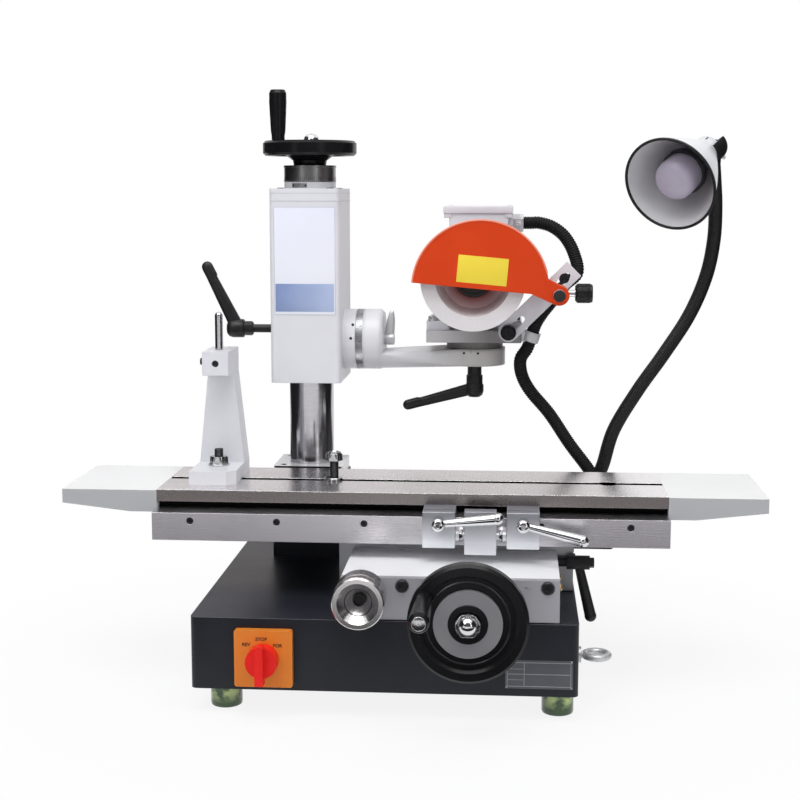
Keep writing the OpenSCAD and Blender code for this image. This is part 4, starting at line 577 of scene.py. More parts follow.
def ticks(at, axis, start, r, count, t0, lengths, every, width, rise=0.06):
    """Graduation lines standing on a cylinder of radius r about axis."""
    m = turn_to(axis, at)
    a0 = m.to_3x3().inverted() @ Vector(start)
    base = math.atan2(a0.y, a0.x)
    for k in range(count):
        a = base + radians(360.0) * (k / count)
        long = lengths[0] if k % every == 0 else lengths[1]
        spin = m @ Matrix.Rotation(a, 4, "Z")
        box((r - 0.3, -width / 2, t0), (r + rise, width / 2, t0 + long), matrix=spin)


def words(name, text, size, at, right, up, body, rise=0.15, bold=0.0):
    """Flat raised lettering, size in mm, made into a mesh."""
    cu = bpy.data.curves.new(name, "FONT")
    cu.body, cu.size, cu.align_x, cu.align_y = text, size * MM, "CENTER", "CENTER"
    cu.extrude, cu.offset = rise * MM / 2, bold * MM
    ob = add(name + ".curve", cu)
    r, u = Vector(right).normalized(), Vector(up).normalized()
    m = Matrix((r, u, r.cross(u))).transposed().to_4x4()
    m.translation = at + DATUM
    me = bpy.data.meshes.new_from_object(ob)
    bpy.data.objects.remove(ob)
    me.transform(m)
    me.materials.clear()
    me.materials.append(M["ink"])
    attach(add(name, me), body)


# Swept routes, the same points as the solids
def smooth_route(p, steps):
    p = [Vector(q) for q in p]
    out = []
    for i in range(len(p) - 1):
        a, b, c, d = p[max(i - 1, 0)], p[i], p[i + 1], p[min(i + 2, len(p) - 1)]
        for k in range(steps):
            s = k / steps
            bend, twist = 2 * a - 5 * b + 4 * c - d, 3 * b - a - 3 * c + d
            out.append(0.5 * (2 * b + (c - a) * s + bend * s * s + twist * s ** 3))
    return out + [p[-1]]


def lengths_of(line):
    at = [0.0]
    for a, b in zip(line, line[1:]):
        at.append(at[-1] + (b - a).length)
    return at


def along(line, at, s):
    for i in range(len(at) - 1):
        if s <= at[i + 1] or i == len(at) - 2:
            k = 0 if at[i + 1] == at[i] else (s - at[i]) / (at[i + 1] - at[i])
            return line[i].lerp(line[i + 1], min(1.0, max(0.0, k)))


def sweep(line, s0, s1, radius_at, step, seg=20, caps=False):
    """Rings along the route from s0 to s1 (mm), radius_at(s) wide. Returns ring centres in metres."""
    at = lengths_of(line)
    n = max(2, round((s1 - s0) / step))
    side = None
    rows, centres = [], []
    for i in range(n + 1):
        s = s0 + (s1 - s0) * i / n
        c = along(line, at, s)
        d = (along(line, at, min(at[-1], s + 1.5)) - along(line, at, max(0.0, s - 1.5))).normalized()
        if side is None:
            side = Y if abs(d.x) > 0.8 else X
        side = (side - d * side.dot(d)).normalized()
        other = d.cross(side)
        r = radius_at(s)
        turns = [2 * pi * k / seg for k in range(seg)]
        rows.append([vert((c + side * (r * cos(q)) + other * (r * sin(q))) * MM) for q in turns])
        centres.append(c * MM + DATUM)
    skin(rows)
    if caps:
        face(rows[0])
        face(rows[-1])
    return centres


def offsets(at, *points):
    return [at + Vector(q) for q in points]


GLAND, CLIP = Vector((126, 195, 519.05)), Vector((137, 153, 382.55))
BOX_END, NECK = Vector((227, 189, 160)), Vector((216, 213, 146))
CLIP_DIR = Vector((-5, 1, -15))
UPPER = offsets(GLAND, (0, 0, 0), (10, 0, 0), (20, 0, 0), (36, -2, -5), (51, -8, -17), (62, -16, -37),
    (66, -24, -60))
UPPER += offsets(CLIP, (39, 11, 61), (25, 6, 43), (13, 2, 28)) + [CLIP - CLIP_DIR, CLIP]
LOWER = [CLIP + CLIP_DIR.normalized() * 2, CLIP + CLIP_DIR]
LOWER += offsets(CLIP, (-13, 4, -29), (-11, 12, -49), (0, 18, -70), (24, 24, -99))
LOWER += offsets(BOX_END, (-41, -8, 86), (-17, -4, 54), (-4, -1, 32), (0, 0, 16), (0, 0, 8), (0, 0, 0))
NECK_LINE = offsets(
    NECK, (0, 0, 1), (0, 0, 11), (0, 0, 21), (0, 0, 30), (4, 0, 44), (14, 0, 68), (27, 0, 113), (56, -1, 164),
    (87, -2, 210), (117, -3, 259), (136, -5, 307), (144, -7, 351), (145, -8, 392), (142.5, -9, 428),
    (140.5, -9.7, 448.8))


def ribs(outer, root, pitch):
    """Corrugated hose: round crests and narrow troughs."""
    return lambda s: root + (outer - root) * (0.5 + 0.5 * cos(2 * pi * s / pitch)) ** 0.55


def conduits():
    rib = ribs(7.9, 6.9, 3.0)
    line = smooth_route(UPPER, 12)
    total = lengths_of(line)[-1]
    centres = sweep(line, 0, total, rib, 0.5)
    up = piece("conduit_upper_hose", "hose", "wheel_head", 60)
    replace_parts(up, "conduit_upper")
    line = smooth_route(LOWER, 12)
    total = lengths_of(line)[-1]
    cuts = [0, 98, total - 110, total]
    parts = []
    for i, (a, b) in enumerate((("wheel_head", "arm"), ("arm", "head"), ("head", "stand"))):
        centres = sweep(line, cuts[i], cuts[i + 1], rib, 0.5)
        ob = piece("conduit_lower_hose_%d" % (i + 1), "hose", None, 60)
        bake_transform(ob)
        parts.append((ob, centres, (cuts[i + 1] - cuts[i]) * MM))
    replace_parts(parts[0][0], "conduit_lower")
    for k, with_pieces in ((0, [parts[1][0]]), (2, [])):
        ob, centres, length = parts[k]


conduits()


# Lamp: wound gooseneck, shade and bulb
LAMP_DIR = Vector((-0.485, -0.785, -0.385)).normalized()
LAMP_AT = NECK + Vector((140.5, -9.7, 468.8))


def lamp():
    line = smooth_route(NECK_LINE, 12)
    total = lengths_of(line)[-1]
    at = LAMP_AT * MM
    wound = ribs(8.6, 8.3, 2.6)
    foot, foot_end, ramp = 7.5, 22, 8
    width = lambda s: foot + (wound(s) - foot) * min(1, max(0, (s - foot_end) / ramp))
    sweep(line, 0, total, width, 0.45, 24, True)
    lathe([(0, -24), (7.6, -24), (9, -22.5), (9.4, -4), (9, 0), (7.4, 3.4), (4, 5.4), (0, 5.8)], at, Z, 40)
    for spin in spins(at, LAMP_DIR, 48):
        if (spin.to_3x3() @ X).dot(Vector((0.80, 0, -0.60))) > 0.12:
            box((8, -1.3, 3), (18.6, 1.3, 34), 0, 0.4, spin)
    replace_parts(piece("wound_gooseneck", "neck", "lamp", 50), "gooseneck")
    r0, l0, r1, l1 = 17.0, 32.0, 56.5, 129.0
    curve = [(r0, 18.2), (r0, l0 - 3), (r0 + 0.9, l0 + 1)]
    for k in range(1, 15):
        s = k / 14
        flare = 1.08 * s - 0.08 * s * s * s + 0.035 * sin(pi * s)
        curve.append((r0 + (r1 - r0) * flare, l0 + (l1 - l0) * s))
    lathe([(0, 16.5), (13, 16.5), (16, 17)] + curve, at, LAMP_DIR, 72, 0)
    inner = [(max(0.1, r - 1.5), t) for r, t in curve]
    lathe(inner[::-1] + [(12.5, 19)], at, LAMP_DIR, 72, 1)
    lathe([(6, 0.5), (6, 17)], at, LAMP_DIR, 24, 0)
    # Eight black patches on the shade's neck stand for vent slots: painted shade of the openings
    boxes_round(at, LAMP_DIR, 8, (16.6, -0.9, 20.5), (17.12, 0.9, 28), 2)
    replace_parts(piece("funnel_shade", "shade_out shade_in ink", "lamp", 40), "lamp_shade")
    turns = [2 * pi * k / 12 for k in range(12)]
    bead = [(r1 - 1.0 + 1.75 * cos(a), l1 - 1.2 + 1.75 * sin(a)) for a in turns]
    lathe(bead, at, LAMP_DIR, 96, 0, True)
    piece("shade_rim_bead", "neck", "lamp", 60)
    body = [(12.0, 19), (12.0, 62), (13.5, 65), (19, 76), (23.5, 83.5), (24.5, 87), (24.5, 112), (24.2, 115),
            (23, 117.8), (20.5, 120.4), (16.5, 122.2), (10, 122.9), (0, 123)]
    lathe(body, at, LAMP_DIR, 64)
    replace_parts(piece("reflector_bulb", "opal", "lamp", 50), "lamp_bulb")
    lathe([(12.2, 20), (14.8, 20), (15.2, 22), (15.2, 44), (14, 47), (12.4, 47)], at, LAMP_DIR, 40)
    for k in range(6):
        lathe([(15.15, 23 + 3.2 * k), (15.5, 24 + 3.2 * k), (15.15, 25 + 3.2 * k)], at, LAMP_DIR, 40)
    lathe([(24.55, 92.5), (26.6, 92.5), (27.4, 91.6), (27.4, 84), (26, 82), (22.6, 81)], at, LAMP_DIR, 64)
    piece("bulb_socket", "ink", "lamp", 40)
    lathe([(0, 0), (2.6, 0), (2.6, 4), (2.0, 6), (0, 6.4)], (LAMP_AT + Vector((8.4, -2.0, -15))) * MM,
        Vector((1, -0.2, -0.3)), 20)
    piece("lamp_push_switch", "shade_out", "lamp", 40)


lamp()


# Base: switch legends, rating plate and junction box screws
def base_details():
    for text, dx, dz in (("REV", -18.3, 15.5), ("STOP", -1.9, 21.5), ("FOR", 15.8, 14.8)):
        words("legend_" + text.lower(), text, 5.2, P(-149 + dx, -135.06, 60.5 + dz), X, Z, "stand", bold=0.13)
    x0, x1, z0, z1, y = 110, 182, 32, 63.5, -127
    box((x0, y - 0.7, z0), (x1, y, z1), 0, 0.25)
    middle = (z0 + z1) / 2
    lines = (((x0 + 2, z1 - 3), (x1 - 2, z1 - 2.4)), ((x0 + 2, z0 + 2.4), (x1 - 2, z0 + 3)),
             ((x0 + 20, z0 + 2.4), (x0 + 20.6, z1 - 2.4)), ((x0 + 2, middle), (x1 - 2, middle + 0.6)),
             ((x0 + 2, z0 + 2.4), (x0 + 2.6, z1 - 2.4)), ((x1 - 2.6, z0 + 2.4), (x1 - 2, z1 - 2.4)),
             ((x0 + 2, z0 + 9.6), (x0 + 20, z0 + 10.0)), ((x0 + 2, z1 - 10), (x0 + 20, z1 - 9.6)))
    for lo, hi in lines:
        box((lo[0], y - 0.82, lo[1]), (hi[0], y - 0.6, hi[1]), 1)
    for sx in (x0 + 1.6, x1 - 1.6):
        for sz in (z0 + 1.6, z1 - 1.6):
            rivet(P(sx, y - 0.7, sz), -Y, 1.1, 1)
    piece("rating_plate_blank", "silver iron", "stand")
    for z in (118, 142):
        for y in (184, 226):
            lathe([(3, 0), (3, 1.4), (2.2, 2.0), (0, 2.1)], P(242, y, z), X, 20)
    for k in range(2):
        lathe([(11.2, 146.2 + 6 * k), (12.4, 147 + 6 * k), (12.4, 150 + 6 * k), (11.2, 151 + 6 * k)],
            P(227, 189, 0), Z, 36)
    piece("junction_box_screws", "steel", "stand")


base_details()


# Saddle, screw plate, stop and table beam
def saddle_details():
    for x, z in ((-0.4, 141.2), (154.3, 141.6)):
        lathe([(6.9, 0.02), (6.9, -0.5), (7.4, -0.5)], P(x, -125, z), Y, 36)
        socket_screw(P(x, -124, z), -Y, 6.4, 3.2)
    piece("plate_cap_screws", "dark_steel", "saddle")
    rivet(P(131.8, -125, 142.2), -Y, 1.5)
    rivet(P(135.4, -125, 141.0), -Y, 1.2)
    for x in (-10, 143):
        box((x - 3.5, 2, 150), (x + 3.5, 3.0, 150.25))
    piece("plate_marks", "iron", "saddle")
    for y, z in ((-40, 132), (-85, 132)):
        lathe([(4.2, 0), (4.2, 2.2), (3.4, 3.2), (1.6, 3.6), (0, 3.2)], P(167, y, z), X, 28)
    piece("apron_oilers", "brass", "saddle", 40)
    for y in (-30, -62, -96):
        socket_screw(P(167, y, 118), X, 3.6, 1.8)
    for y in (30, 70, 104):
        socket_screw(P(186, y, 138), X, 4.5, 3.0)
        socket_screw(P(-83, y, 138), -X, 4.5, 3.0)
    piece("gib_screws", "dark_steel", "saddle")
    for x, sgn in ((57.6, -1), (105.4, 1)):
        hex_head(P(x, -50.3, 180), X * -sgn, 6.6, 3.6)
    piece("stop_lock_nuts", "steel", "saddle")
    for k in range(6):
        socket_screw(P((k - 2.5) * 98.6, -36.5, 189.5), -Y, 3.75, 4.6)
    piece("beam_screws", "dark_steel", "table")


saddle_details()


# Handwheels, dials, knob and grips
def grip_flutes(at, axis, length, r0, r1, count=18):
    for spin in spins(at, axis, count):
        rows = []
        for i in range(9):
            t = 6 + (length - 14) * i / 8
            r = r0 + (r1 - r0) * min(1, t / (length - 12))
            w, h = (0.75, 0.32) if 0 < i < 8 else (0.2, -0.15)
            rows.append([vert(spin @ P(*q)) for q in ((r - 0.25, -w, t), (r + h, 0, t), (r - 0.25, w, t))])
        for a, b in zip(rows, rows[1:]):
            face((a[0], a[1], b[1], b[0]))
            face((a[1], a[2], b[2], b[1]))


def wheel_details():
    cx, cz = CROSS_X, CROSS_Z
    at, web = P(cx, -202, cz), P(cx, -191, cz)
    cross_r, lift_r, grip_share = 62.5, 58, 0.83
    lathe([(8.6, -3.2), (12.6, -3.2), (13.2, -2.4), (13.2, -0.2)], at, -Y, 40)
    lathe([(10.2, 0), (10.2, 1.0), (8.8, 4.6), (5.4, 7.4), (0, 8.6)], at, -Y, 40)
    piece("cross_dome_nut", "chrome", "cross_wheel", 40)
    lathe([(16, 0), (20.2, 0), (20.5, 0.5), (20.5, 5), (19.8, 5.6), (14, 5.6), (13.4, 5), (13.4, 0)],
        web, -Y, 64)
    piece("cross_hub_cap", "black", "cross_wheel", 40)
    lathe([(41.4, -0.2), (42.0, 0.9), (42.9, 1.3), (44.2, 0.8), (45.2, -0.2)], web, -Y, 80)
    piece("cross_web_bead", "bead", "cross_wheel", 40)
    a = radians(149)
    end = P(cx + cross_r * grip_share * cos(a), -287.3, cz + cross_r * grip_share * sin(a))
    lathe([(7.4, -0.2), (7.2, 0.9), (6.8, 1.2), (6.6, 1.0)], end, -Y, 40)
    lathe([(6.6, 1.0), (6.2, 1.25), (0.8, 1.3), (0, 0.6)], end, -Y, 40)
    piece("cross_grip_cap", "steel", "cross_grip", 40)
    # elevating handwheel
    ticks(P(LIFT_X, LIFT_Y, 569.3), Z, -Y, 32, 80, 1.2, (7.5, 4.5), 5, 0.3)
    piece("lift_dial_lines", "ink", "elevating_wheel", 40)
    for z0, z1 in ((569.4, 571.0), (586.6, 589.2)):
        lathe([(31.9, z0), (32.7, z0 + 0.3), (32.7, z1 - 0.3), (31.9, z1)], P(LIFT_X, LIFT_Y, 0), Z, 72)
    piece("lift_dial_lips", "ring_z", "elevating_wheel", 40)
    lathe([(12.5, 613.4), (9.6, 615), (9.6, 621), (8.4, 624.6), (5.6, 627.4), (0, 628.6)],
        P(LIFT_X + 2, LIFT_Y, 0), Z, 40)
    piece("lift_hub_nut", "chrome", "elevating_wheel", 40)
    for x, top in ((-141.5, 624.6), (-131.5, 623.4)):
        lathe([(1.9, 616), (1.9, top - 1), (1.2, top), (0, top + 0.2)], P(x, 186.4, 0), Z, 20)
    piece("lift_hub_screws", "dark_steel", "elevating_wheel", 40)
    a = radians(225)
    foot = P(LIFT_X + lift_r * grip_share * cos(a), LIFT_Y + lift_r * grip_share * sin(a), 619.6)
    grip_flutes(foot, Z, 60, 8.2, 10.5)
    piece("lift_grip_flutes", "black", "elevating_grip", 50)
    # table knob
    at = P(KNOB_X, -175.3, KNOB_Z)
    boxes_round(at, Y, 60, (27.3, -0.42, 4.5), (27.72, 0.42, 15.5))
    lathe([(27.45, 3.0), (27.75, 3.4), (27.75, 4.2), (27.45, 4.5)], at, Y, 72)
    lathe([(27.45, 15.6), (27.75, 16), (27.75, 16.8), (27.45, 17.2)], at, Y, 72)
    piece("knob_knurl", "knob", "table_knob", 30)
    dx, dz = sin(0.42), cos(0.42)
    lathe([(2.9, 0.05), (2.5, 0.1), (2.3, -1.6), (0, -1.6)], P(KNOB_X + 27.5 * dx, -155, KNOB_Z + 27.5 * dz),
        (dx, 0, dz), 24)
    piece("knob_set_screw", "ink", "table_knob", 40)
    lathe([(7.0, 15.9), (6.0, 15.95), (5.9, 19.8), (0, 19.8)], at, Y, 32)
    lathe([(13.8, 8.0), (14.3, 7.5), (14.9, 7.4)], at, Y, 64)
    piece("knob_centre", "dark_steel", "table_knob", 40)


wheel_details()


# Head, arm and wheel head: seams, panel, screws, dial lines, terminal box
def head_details():
    for z in (545.7, 555.4):
        box((-181.0, 139.85, z - 0.35), (-97.0, 140.2, z + 0.35))
        box((-96.2, 141, z - 0.35), (-95.85, 259, z + 0.35))
    piece("head_seams", "seam", "head", 30)
    x0, x1, z0, z1, rule = -176.4, -101.6, 408.1, 538.8, 0.4
    box((x0, 139.72, z0), (x1, 140, z1), 0, 0.1)
    box((-175.2, 139.62, 411.8), (-103.2, 139.8, 446.0), 1, 0.05)
    for lo, hi in (((x0, z0), (x0 + rule, z1)), ((x1 - rule, z0), (x1, z1)),
                   ((x0, z1 - rule), (x1, z1)), ((x0, z0), (x1, z0 + rule))):
        box((lo[0], 139.6, lo[1]), (hi[0], 139.8, hi[1]), 2)
    piece("head_panel", "panel blue line", "head", 30)
    for sx in (-1, 1):
        for y in (150, 250):
            socket_screw(P(LIFT_X + sx * 30, y, 560.4), Z, 4.2, 1.6)
    piece("cap_screws", "dark_steel", "head")
    at = P(LIFT_X, LIFT_Y, 0)
    middle, step, spread = -pi / 2 - 0.30, 0.105, 0.26
    for k in range(-3, 3):
        a0, a1 = middle + step * k, middle + step * (k + 1)
        corners = ((a0, 562), (a1, 562), (a1, 567.6), (a0, 567.6))
        face([vert(at + P(32.18 * cos(a), 32.18 * sin(a), z)) for a, z in corners])
    for a in (middle - spread, middle + spread):
        rivet(at + P(32.15 * cos(a), 32.15 * sin(a), 564.8), (cos(a), sin(a), 0), 1.2, 1)
    box((-0.2, -0.3, 0), (0.2, 0.3, 3.5), 1,
        matrix=Matrix.Translation(at + P(32.2 * cos(middle), 32.2 * sin(middle), 564)))
    piece("lift_index_plate", "iron ink", "head")
    for ang, x in ((32.8, -83.0), (6.1, -85.0)):
        a = radians(ang)
        rivet(P(x, TILT_Y - 37.5 * cos(a), TILT_Z + 37.5 * sin(a)), (0, -cos(a), sin(a)), 1.8)
    piece("boss_rivets", "dark_steel", "head")
    ticks(P(-79.6, TILT_Y, TILT_Z), X, -Y, 37.5, 72, 0.4, (5.2, 3.2), 6, 0.3)
    piece("tilt_lines", "ink", "arm", 40)
    for k in range(-2, 3):
        a = radians(30 * k)
        at = P(-73.3, TILT_Y - 37.54 * cos(a), TILT_Z + 37.54 * sin(a))
        words("tilt_%d" % (k + 2), str(abs(30 * k)), 3.0, at, X, (0, sin(a), cos(a)), "arm", 0.08)
    pad_r = 38
    for x in (54.8, 72.0):
        a = math.asin((x - SWIVEL_X) / pad_r)
        rivet(P(SWIVEL_X + pad_r * sin(a), SWIVEL_Y - pad_r * cos(a), 360.5), (sin(a), -cos(a), 0), 1.5)
    a = math.asin((63.4 - SWIVEL_X) / pad_r)
    box((-0.25, -0.25, 0), (0.25, 0.25, 4.5),
        matrix=Matrix.Translation(P(SWIVEL_X + pad_r * sin(a), SWIVEL_Y - pad_r * cos(a), 360)))
    piece("pad_rivets", "ink", "arm", 35)
    ticks(P(SWIVEL_X, SWIVEL_Y, 365.05), Z, -Y, 35, 72, 0.3, (6.0, 3.8), 6, 0.3)
    piece("swivel_lines", "ink", "wheel_head", 40)
    for k in range(-2, 3):
        a = radians(30 * k)
        at = P(SWIVEL_X + 35.04 * sin(a), SWIVEL_Y - 35.04 * cos(a), 373.2)
        words("swivel_%d" % (k + 2), str(abs(30 * k)), 2.4, at, (cos(a), sin(a), 0), Z, "wheel_head", 0.08)
    feet = [(x, y, 7.5, 6.9, 6.4) for x in (21, 113) for y in (176, 238)]
    for x, y, washer, bevel, head in feet + [(x, 157, 6.4, 5.9, 5.6) for x in (16.5, 117.5)]:
        lathe([(washer, 0), (washer, 1.2), (bevel, 1.5)], P(x, y, 400.55), Z, 32)
        hex_head(P(x, y, 401.9), Z, head, 4.6)
    piece("motor_foot_bolts", "steel", "wheel_head")
    box((35.6, 166, 512.6), (107.6, 236, 531.4), 0, 1.2)
    box((28.5, 164, 530.8), (113.3, 238, 539.8), 0, 1.4)
    for x0, x1 in ((29.2, 38.6), (103.4, 112.6)):
        for y0, y1 in ((165.2, 175), (227, 236.8)):
            box((x0, y0, 525.6), (x1, y1, 531.2), 0, 0.9)
            at = P((x0 + x1) / 2, (y0 + y1) / 2, 539.8)
            lathe([(3.6, 0.0), (3.4, 0.7), (2.0, 1.1), (0, 1.2)], at, Z, 24)
    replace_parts(piece("terminal_box_form", "white", "wheel_head"), "terminal_box")
    at = P(107.6, GLAND.y, 519.05)
    lathe([(9.6, 0), (10.6, 0.8), (10.6, 5), (9.6, 5.8), (9, 6), (9, 8), (9.9, 8.8), (9.9, 15), (9, 16.6),
        (8.2, 17.6)], at, X, 40)
    boxes_round(at, X, 24, (9.7, -0.5, 9.4), (10.3, 0.5, 14.6), 0, 0.15)
    piece("gland_body", "white", "wheel_head")


head_details()


# Guard, bracket and wheel
def guard_details():
    tilt = radians(-5.2)
    c, r = Vector((75.6, 0, 444.0)), 80.5
    # Rolled bead along the guard's edge, in a lighter orange that is a painted highlight
    line = []
    for k in range(5, 49):
        a = tilt + pi * k / 48
        line.append(c + Vector(((r - 0.3) * cos(a), 83.4, (r - 0.3) * sin(a))))
    sweep(line, 0, lengths_of(line)[-1], lambda s: 1.15, 3.0, 10, True)
    piece("guard_bead", "guard_edge", "wheel_guard", 60)
    m = Matrix.Translation(P(78.3, 82.95, 465.9)) @ Matrix.Rotation(radians(5.2), 4, "Y")
    box((-29.5, -0.12, -16.0), (29.5, 0.06, 16.0), 0, 0.05, m)
    piece("guard_patch_blank", "patch", "wheel_guard")
    socket_screw(P(PIVOT_X, 76.3, PIVOT_Z), -Y, 7.0, 3.6)
    lathe([(3.9, 3.3), (3.6, 3.9), (0, 3.9)], P(PIVOT_X, 76.3, PIVOT_Z), -Y, 24)
    piece("guard_pivot_screw", "ink", "wheel_head", 35)
    at = P(PIVOT_X + 20, 123.5, PIVOT_Z)
    boxes_round(at, X, 30, (10.7, -0.62, 2.6), (11.5, 0.62, 17.6), 0, 0.2)
    lathe([(10.9, 16.8), (11.1, 17.4), (11.0, 19.4), (10.0, 20.6), (0, 20.8)], at, X, 40)
    piece("thumb_knurl", "lever", "guard_screw")
    lathe([(4.15, 10.2), (4.15, 19.6), (5.2, 19.7), (5.2, 20.1)], P(PIVOT_X, 123.5, PIVOT_Z), X, 32)
    piece("thumb_stem", "steel", "guard_screw")
    boxes_round(P(109, 135.2, 389.05), -Y, 24, (8.7, -0.6, 1.2), (9.5, 0.6, 11.5), 0, 0.2)
    piece("bracket_knob_knurl", "lever", "bracket_knob")
    d = Vector((78, 0, 76.5)).normalized()
    at = Vector((109, 0, 389.05)) + d * 93
    socket_screw(P(at.x, 138.2, at.z), -Y, 6.6, 2.9)
    piece("bracket_clamp_screw", "dark_steel", "wheel_head")
    flange_y, hole_r = 122.95, 21.6
    lathe([(24.0, -0.2), (23.2, 0.8), (20, 1.0), (19.6, 0.4)], P(SWIVEL_X, flange_y, WHEEL_Z), -Y, 48)
    for k in range(3):
        a = 2 * pi * k / 3 + 0.5
        at = P(SWIVEL_X + hole_r * cos(a), flange_y, WHEEL_Z + hole_r * sin(a))
        lathe([(1.6, 1.0), (1.4, 0.3), (0, 0.3)], at, -Y, 16)
    lathe([(9, 0), (8.4, 2.4), (7, 3.2), (0, 3.4)], P(SWIVEL_X, 111, WHEEL_Z), -Y, 32)
    piece("wheel_flange_ring", "hub", "wheel")


guard_details()


# Tool post, dogs and levers
def clamp_handle(at, axis, out, hub, arm):
    """Adjustable clamping lever: stud, collar and hub about axis, and a flat arm with a stepped end."""
    collar, r, l, stud, stand = hub
    lathe([(0, -stand), (stud, -stand), (stud, 0.3), (collar - 0.6, 0.3), (collar, 1), (collar, 11),
        (r - 1, 11.6), (r, 13), (r, l - 7), (r - 1.4, l - 2.6), (r * 0.6, l), (0, l + 0.2)], at, axis, 44)
    low, high, reach, w0, w1 = arm
    a, b = at + axis * (low * MM), at + axis * (high * MM) + out * (reach * MM)
    d = (b - a).normalized()
    thick = axis.cross(out).normalized()
    side = d.cross(thick)
    if side.dot(axis) > 0:
        side = -side
    total = (b - a).length / MM + w1
    rows = []
    for i in range(33):
        s = total * i / 32
        if i >= 26:
            s = total - w1 * (1 - sin((i - 25) / 7 * pi / 2)) * (total - total * 25 / 32) / w1
        k = s / total
        w = w0 + (w1 - w0) * min(1, k / 0.76)
        shift = 0.0
        if k > 0.77:
            w, shift = w1 * 1.1, 0.12 * w1
        left = max(0.0, total - s)
        if left < w:
            w *= max(0.04, math.sqrt(max(0.0, 1 - (1 - left / w) ** 2)))
        row = []
        for j in range(24):
            q = 2 * pi * j / 24
            c, e = cos(q), sin(q)
            c, e = math.copysign(abs(c) ** 0.8, c), math.copysign(abs(e) ** 0.8, e)
            row.append(vert(a + d * (s * MM) + side * ((shift + w * c) * MM) + thick * (0.82 * w * e * MM)))
        rows.append(row)
    skin(rows)
    face(rows[0])
    face(rows[-1])


def bench_details():
    post, spare, column_lever = P(POST_X, SLOT_Y, 0), P(SPARE_X, SLOT_Y, 0), P(-211, 187, 387)
    dogs = (35, "left_dog"), (128, "right_dog")
    lathe([(12.5, 0), (12.5, 1.6), (11.8, 2.0), (9.6, 2.0)], P(POST_X, SLOT_Y, 236), Z, 40)
    hex_head(P(POST_X, SLOT_Y, 237.6), Z, 11.0, 9.4)
    piece("post_nut", "steel", "tool_post")
    socket_screw(P(-231.5, 46.2, 358), -Y, 3.9, 2.4)
    socket_screw(P(-251.2, 68, 358), -X, 4.2, 3.0)
    for k in range(7):
        lathe([(5, 247.6 + 1.15 * k), (5.35, 248.1 + 1.15 * k), (5, 248.6 + 1.15 * k)], post, Z, 28)
    piece("post_set_screws", "dark_steel", "tool_post")
    lathe([(5.0, 212), (5.0, 245), (4.4, 252.4), (0, 252.6)], spare, Z, 36)
    box((-103, 46.5, 203.7), (-85, 64.5, 209.7), 0, 0.4)
    for k in range(15):
        z = 223.6 + 1.3 * k
        lathe([(5.0, z), (5.3, z + 0.5), (5.0, z + 1.0)], spare, Z, 28)
    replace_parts(piece("spare_bolt_form", "dark_steel", "spare_t_bolt"), "spare_t_bolt")
    hex_head(P(SPARE_X, SLOT_Y, 243.6), Z, 10.0, 8.6)
    lathe([(8.4, 252.0), (8.0, 253.6), (5.6, 254.2), (5.2, 253.2), (4.2, 252.5)], spare, Z, 36)
    lathe([(5.2, 223.2), (9.8, 223.2), (10.2, 222.7), (10.2, 220.2)], spare, Z, 36)
    piece("spare_nut", "steel", "spare_t_bolt")
    for x, name in dogs:
        at = P(x, -72.3, 195.5)
        lathe([(7.2, 0), (6.6, 1.6), (4.8, 2.8), (2.6, 3.2), (2.4, 2.6), (0, 2.6)], at, -Y, 32)
        piece(name + "_lever_cap", "chrome", name + "_lever", 40)
    for x, name in dogs:
        box((x - 18, -58.3, 167), (x + 18, -42.3, 207.6), 0, 0.9)
        box((x - 18, -46, 198.9), (x + 18, -17.4, 207.6), 0, 0.9)
        box((x - 10, -20, 199.2), (x + 10, -6.2, 206.2), 0, 0.4)
        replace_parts(piece(name + "_form", "dog", name), name)
    rows = []
    turns = [2 * pi * j / 28 for j in range(28)]
    for i in range(15):
        h = 6.0 + 30.5 * i / 14
        w = 5.9 * math.sqrt(max(0.0, 1 - ((h - 6.0) / 30.6) ** 2)) ** 0.9
        middle = -39.9 + 0.10 * (h - 6)
        rows.append([vert(P(middle + w * cos(q), TILT_Y + 0.75 * w * sin(q), TILT_Z + h)) for q in turns])
    skin(rows)
    face(rows[-1])
    lathe([(5.9, -20), (5.9, 0.3), (6.6, 0.3), (7.2, 0.9), (7.2, 11), (6.6, 11.9), (3, 12.1), (2.6, 11.2),
        (0, 11.2)], P(-45.7, TILT_Y, TILT_Z), X, 40)
    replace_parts(piece("arm_lever_form", "leaf", "arm_clamp", 45), "arm_clamp_lever")
    lathe([(7.4, 1.2), (8.7, 1.4), (9.0, 2), (9.0, 9.6), (8.6, 10.4), (7.6, 10.6)], column_lever, -X, 6)
    piece("column_lever_collar", "dark_steel", "column_clamp", 30)
    for name, node, body, at, axis, out, hub, arm in (
            ("column_lever_form", "column_clamp_lever", "column_clamp", column_lever, -X, Z,
                (8.2, 11.6, 33, 5.2, 37), (20, 58.5, 77, 8.6, 6.4)),
            ("swivel_lever_form", "swivel_clamp_lever", "swivel_clamp", P(SWIVEL_X, SWIVEL_Y, 330), -Z, -X,
                (10.2, 11.5, 28, 8.8, 13.6), (17, 40, 84, 7.8, 5.9))):
        clamp_handle(at, axis, out, hub, arm)
        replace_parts(piece(name, "lever", body, 40), node)


bench_details()


# Stage and light
def sheet(name, corners):
    bm = bmesh.new()
    bm.faces.new([bm.verts.new(v) for v in corners])
    me = bpy.data.meshes.new(name)
    bm.to_mesh(me)
    bm.free()
    ob = add(name, me)
    m = bpy.data.materials.new(name)
    me.materials.append(m)
    return ob, Nodes(m, "ShaderNodeOutputMaterial")


def level(x0, x1, y0, y1, z):
    return (x0, y0, z), (x1, y0, z), (x1, y1, z), (x0, y1, z)


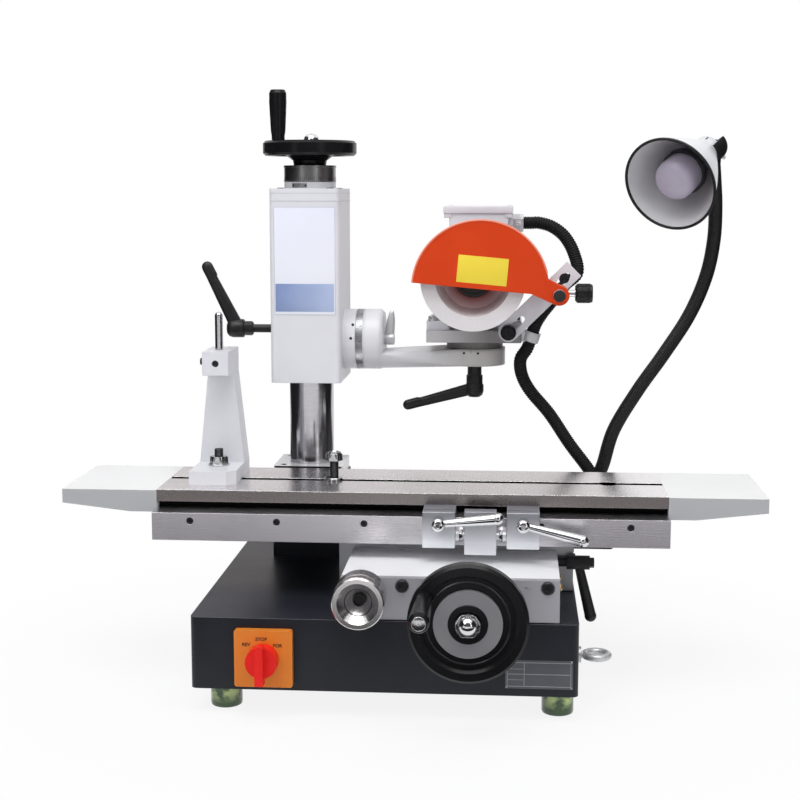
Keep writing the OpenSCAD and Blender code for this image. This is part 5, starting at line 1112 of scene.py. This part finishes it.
def stage():
    white = (1, 1, 1)
    t = sheet("floor", level(-8.0, 8.0, -8.0, 8.0, -0.0004))[1]
    seen = t.math("MAXIMUM", t.ray("Is Camera Ray"), t.ray("Is Glossy Ray"))
    away = t.spread(t.vec("LENGTH", t.here()), 0.26, 0.7, 0.87, 1.0)
    t.show_mix(t.math("MULTIPLY", seen, away), t.shade("ShaderNodeBsdfDiffuse", (0.82, 0.82, 0.83)),
               t.shade("ShaderNodeEmission", white))

    scene.world = bpy.data.worlds.new("studio")
    t = Nodes(scene.world, "ShaderNodeOutputWorld")
    seen = t.math("MAXIMUM", t.ray("Is Camera Ray"), t.ray("Is Glossy Ray"))
    seen = t.math("MAXIMUM", seen, t.ray("Is Transmission Ray"))
    t.show_mix(seen, t.shade("ShaderNodeBackground", (0.93, 0.95, 1.0), 0.42),
               t.shade("ShaderNodeBackground", white, 1.0))

    def lamp_at(name, at, size, watts):
        data = bpy.data.lights.new(name, "AREA")
        data.shape, data.size, data.size_y, data.energy = "RECTANGLE", *size, watts
        o = add(name, data)
        o.location = at
        o.rotation_euler = (Vector((0, 0, 0.3)) - Vector(at)).to_track_quat("-Z", "Y").to_euler()

    lamp_at("key", (-1.5, -2.0, 2.1), (1.6, 1.6), 14)
    lamp_at("fill", (2.1, -1.7, 1.2), (1.4, 1.8), 9)
    lamp_at("top", (-0.1, -0.75, 2.5), (2.2, 1.4), 40)

    def card(name, corners, shade):
        """Sheet that only shows in reflections, as a studio flag does."""
        o, t = sheet(name, corners)
        t.show(t.shade("ShaderNodeEmission", shade))
        o.visible_camera = o.visible_diffuse = o.visible_shadow = False

    def wall(x0, y0, x1, y1, z0, z1):
        return (x0, y0, z0), (x1, y1, z0), (x1, y1, z1), (x0, y0, z1)

    card("flag_left", wall(-1.6, -1.9, -1.6, 2.2, 0.002, 1.8), (0.02, 0.02, 0.022))
    card("flag_right", wall(1.6, -1.9, 1.6, 2.2, 0.002, 1.8), (0.02, 0.02, 0.022))
    card("flag_front", wall(-1.5, -2.7, 1.5, -2.7, 0.3, 2.4), (0.10, 0.10, 0.11))
    card("flag_back", wall(-1.4, 2.2, 0.37, 2.2, 0.1, 1.3), (0.67, 0.64, 0.645))

    for name, x0, x1, y0, y1, shade in (
            ("near", -1.1, 1.1, -0.70, -0.34, (0.03, 0.03, 0.034)),
            ("side_left", -1.7, -0.64, -0.33, 1.4, (0.07, 0.07, 0.075)),
            ("side_right", 0.64, 1.7, -0.33, 1.4, (0.07, 0.07, 0.075)),
            ("mid_left", -1.5, -0.20, -1.3, -0.72, (0.40, 0.37, 0.40)),
            ("mid_right", 0.09, 1.5, -1.3, -0.72, (0.42, 0.39, 0.43))):
        card("flag_" + name, level(x0, x1, y0, y1, 0.003), shade)


stage()
scene.view_settings.view_transform = "Standard"
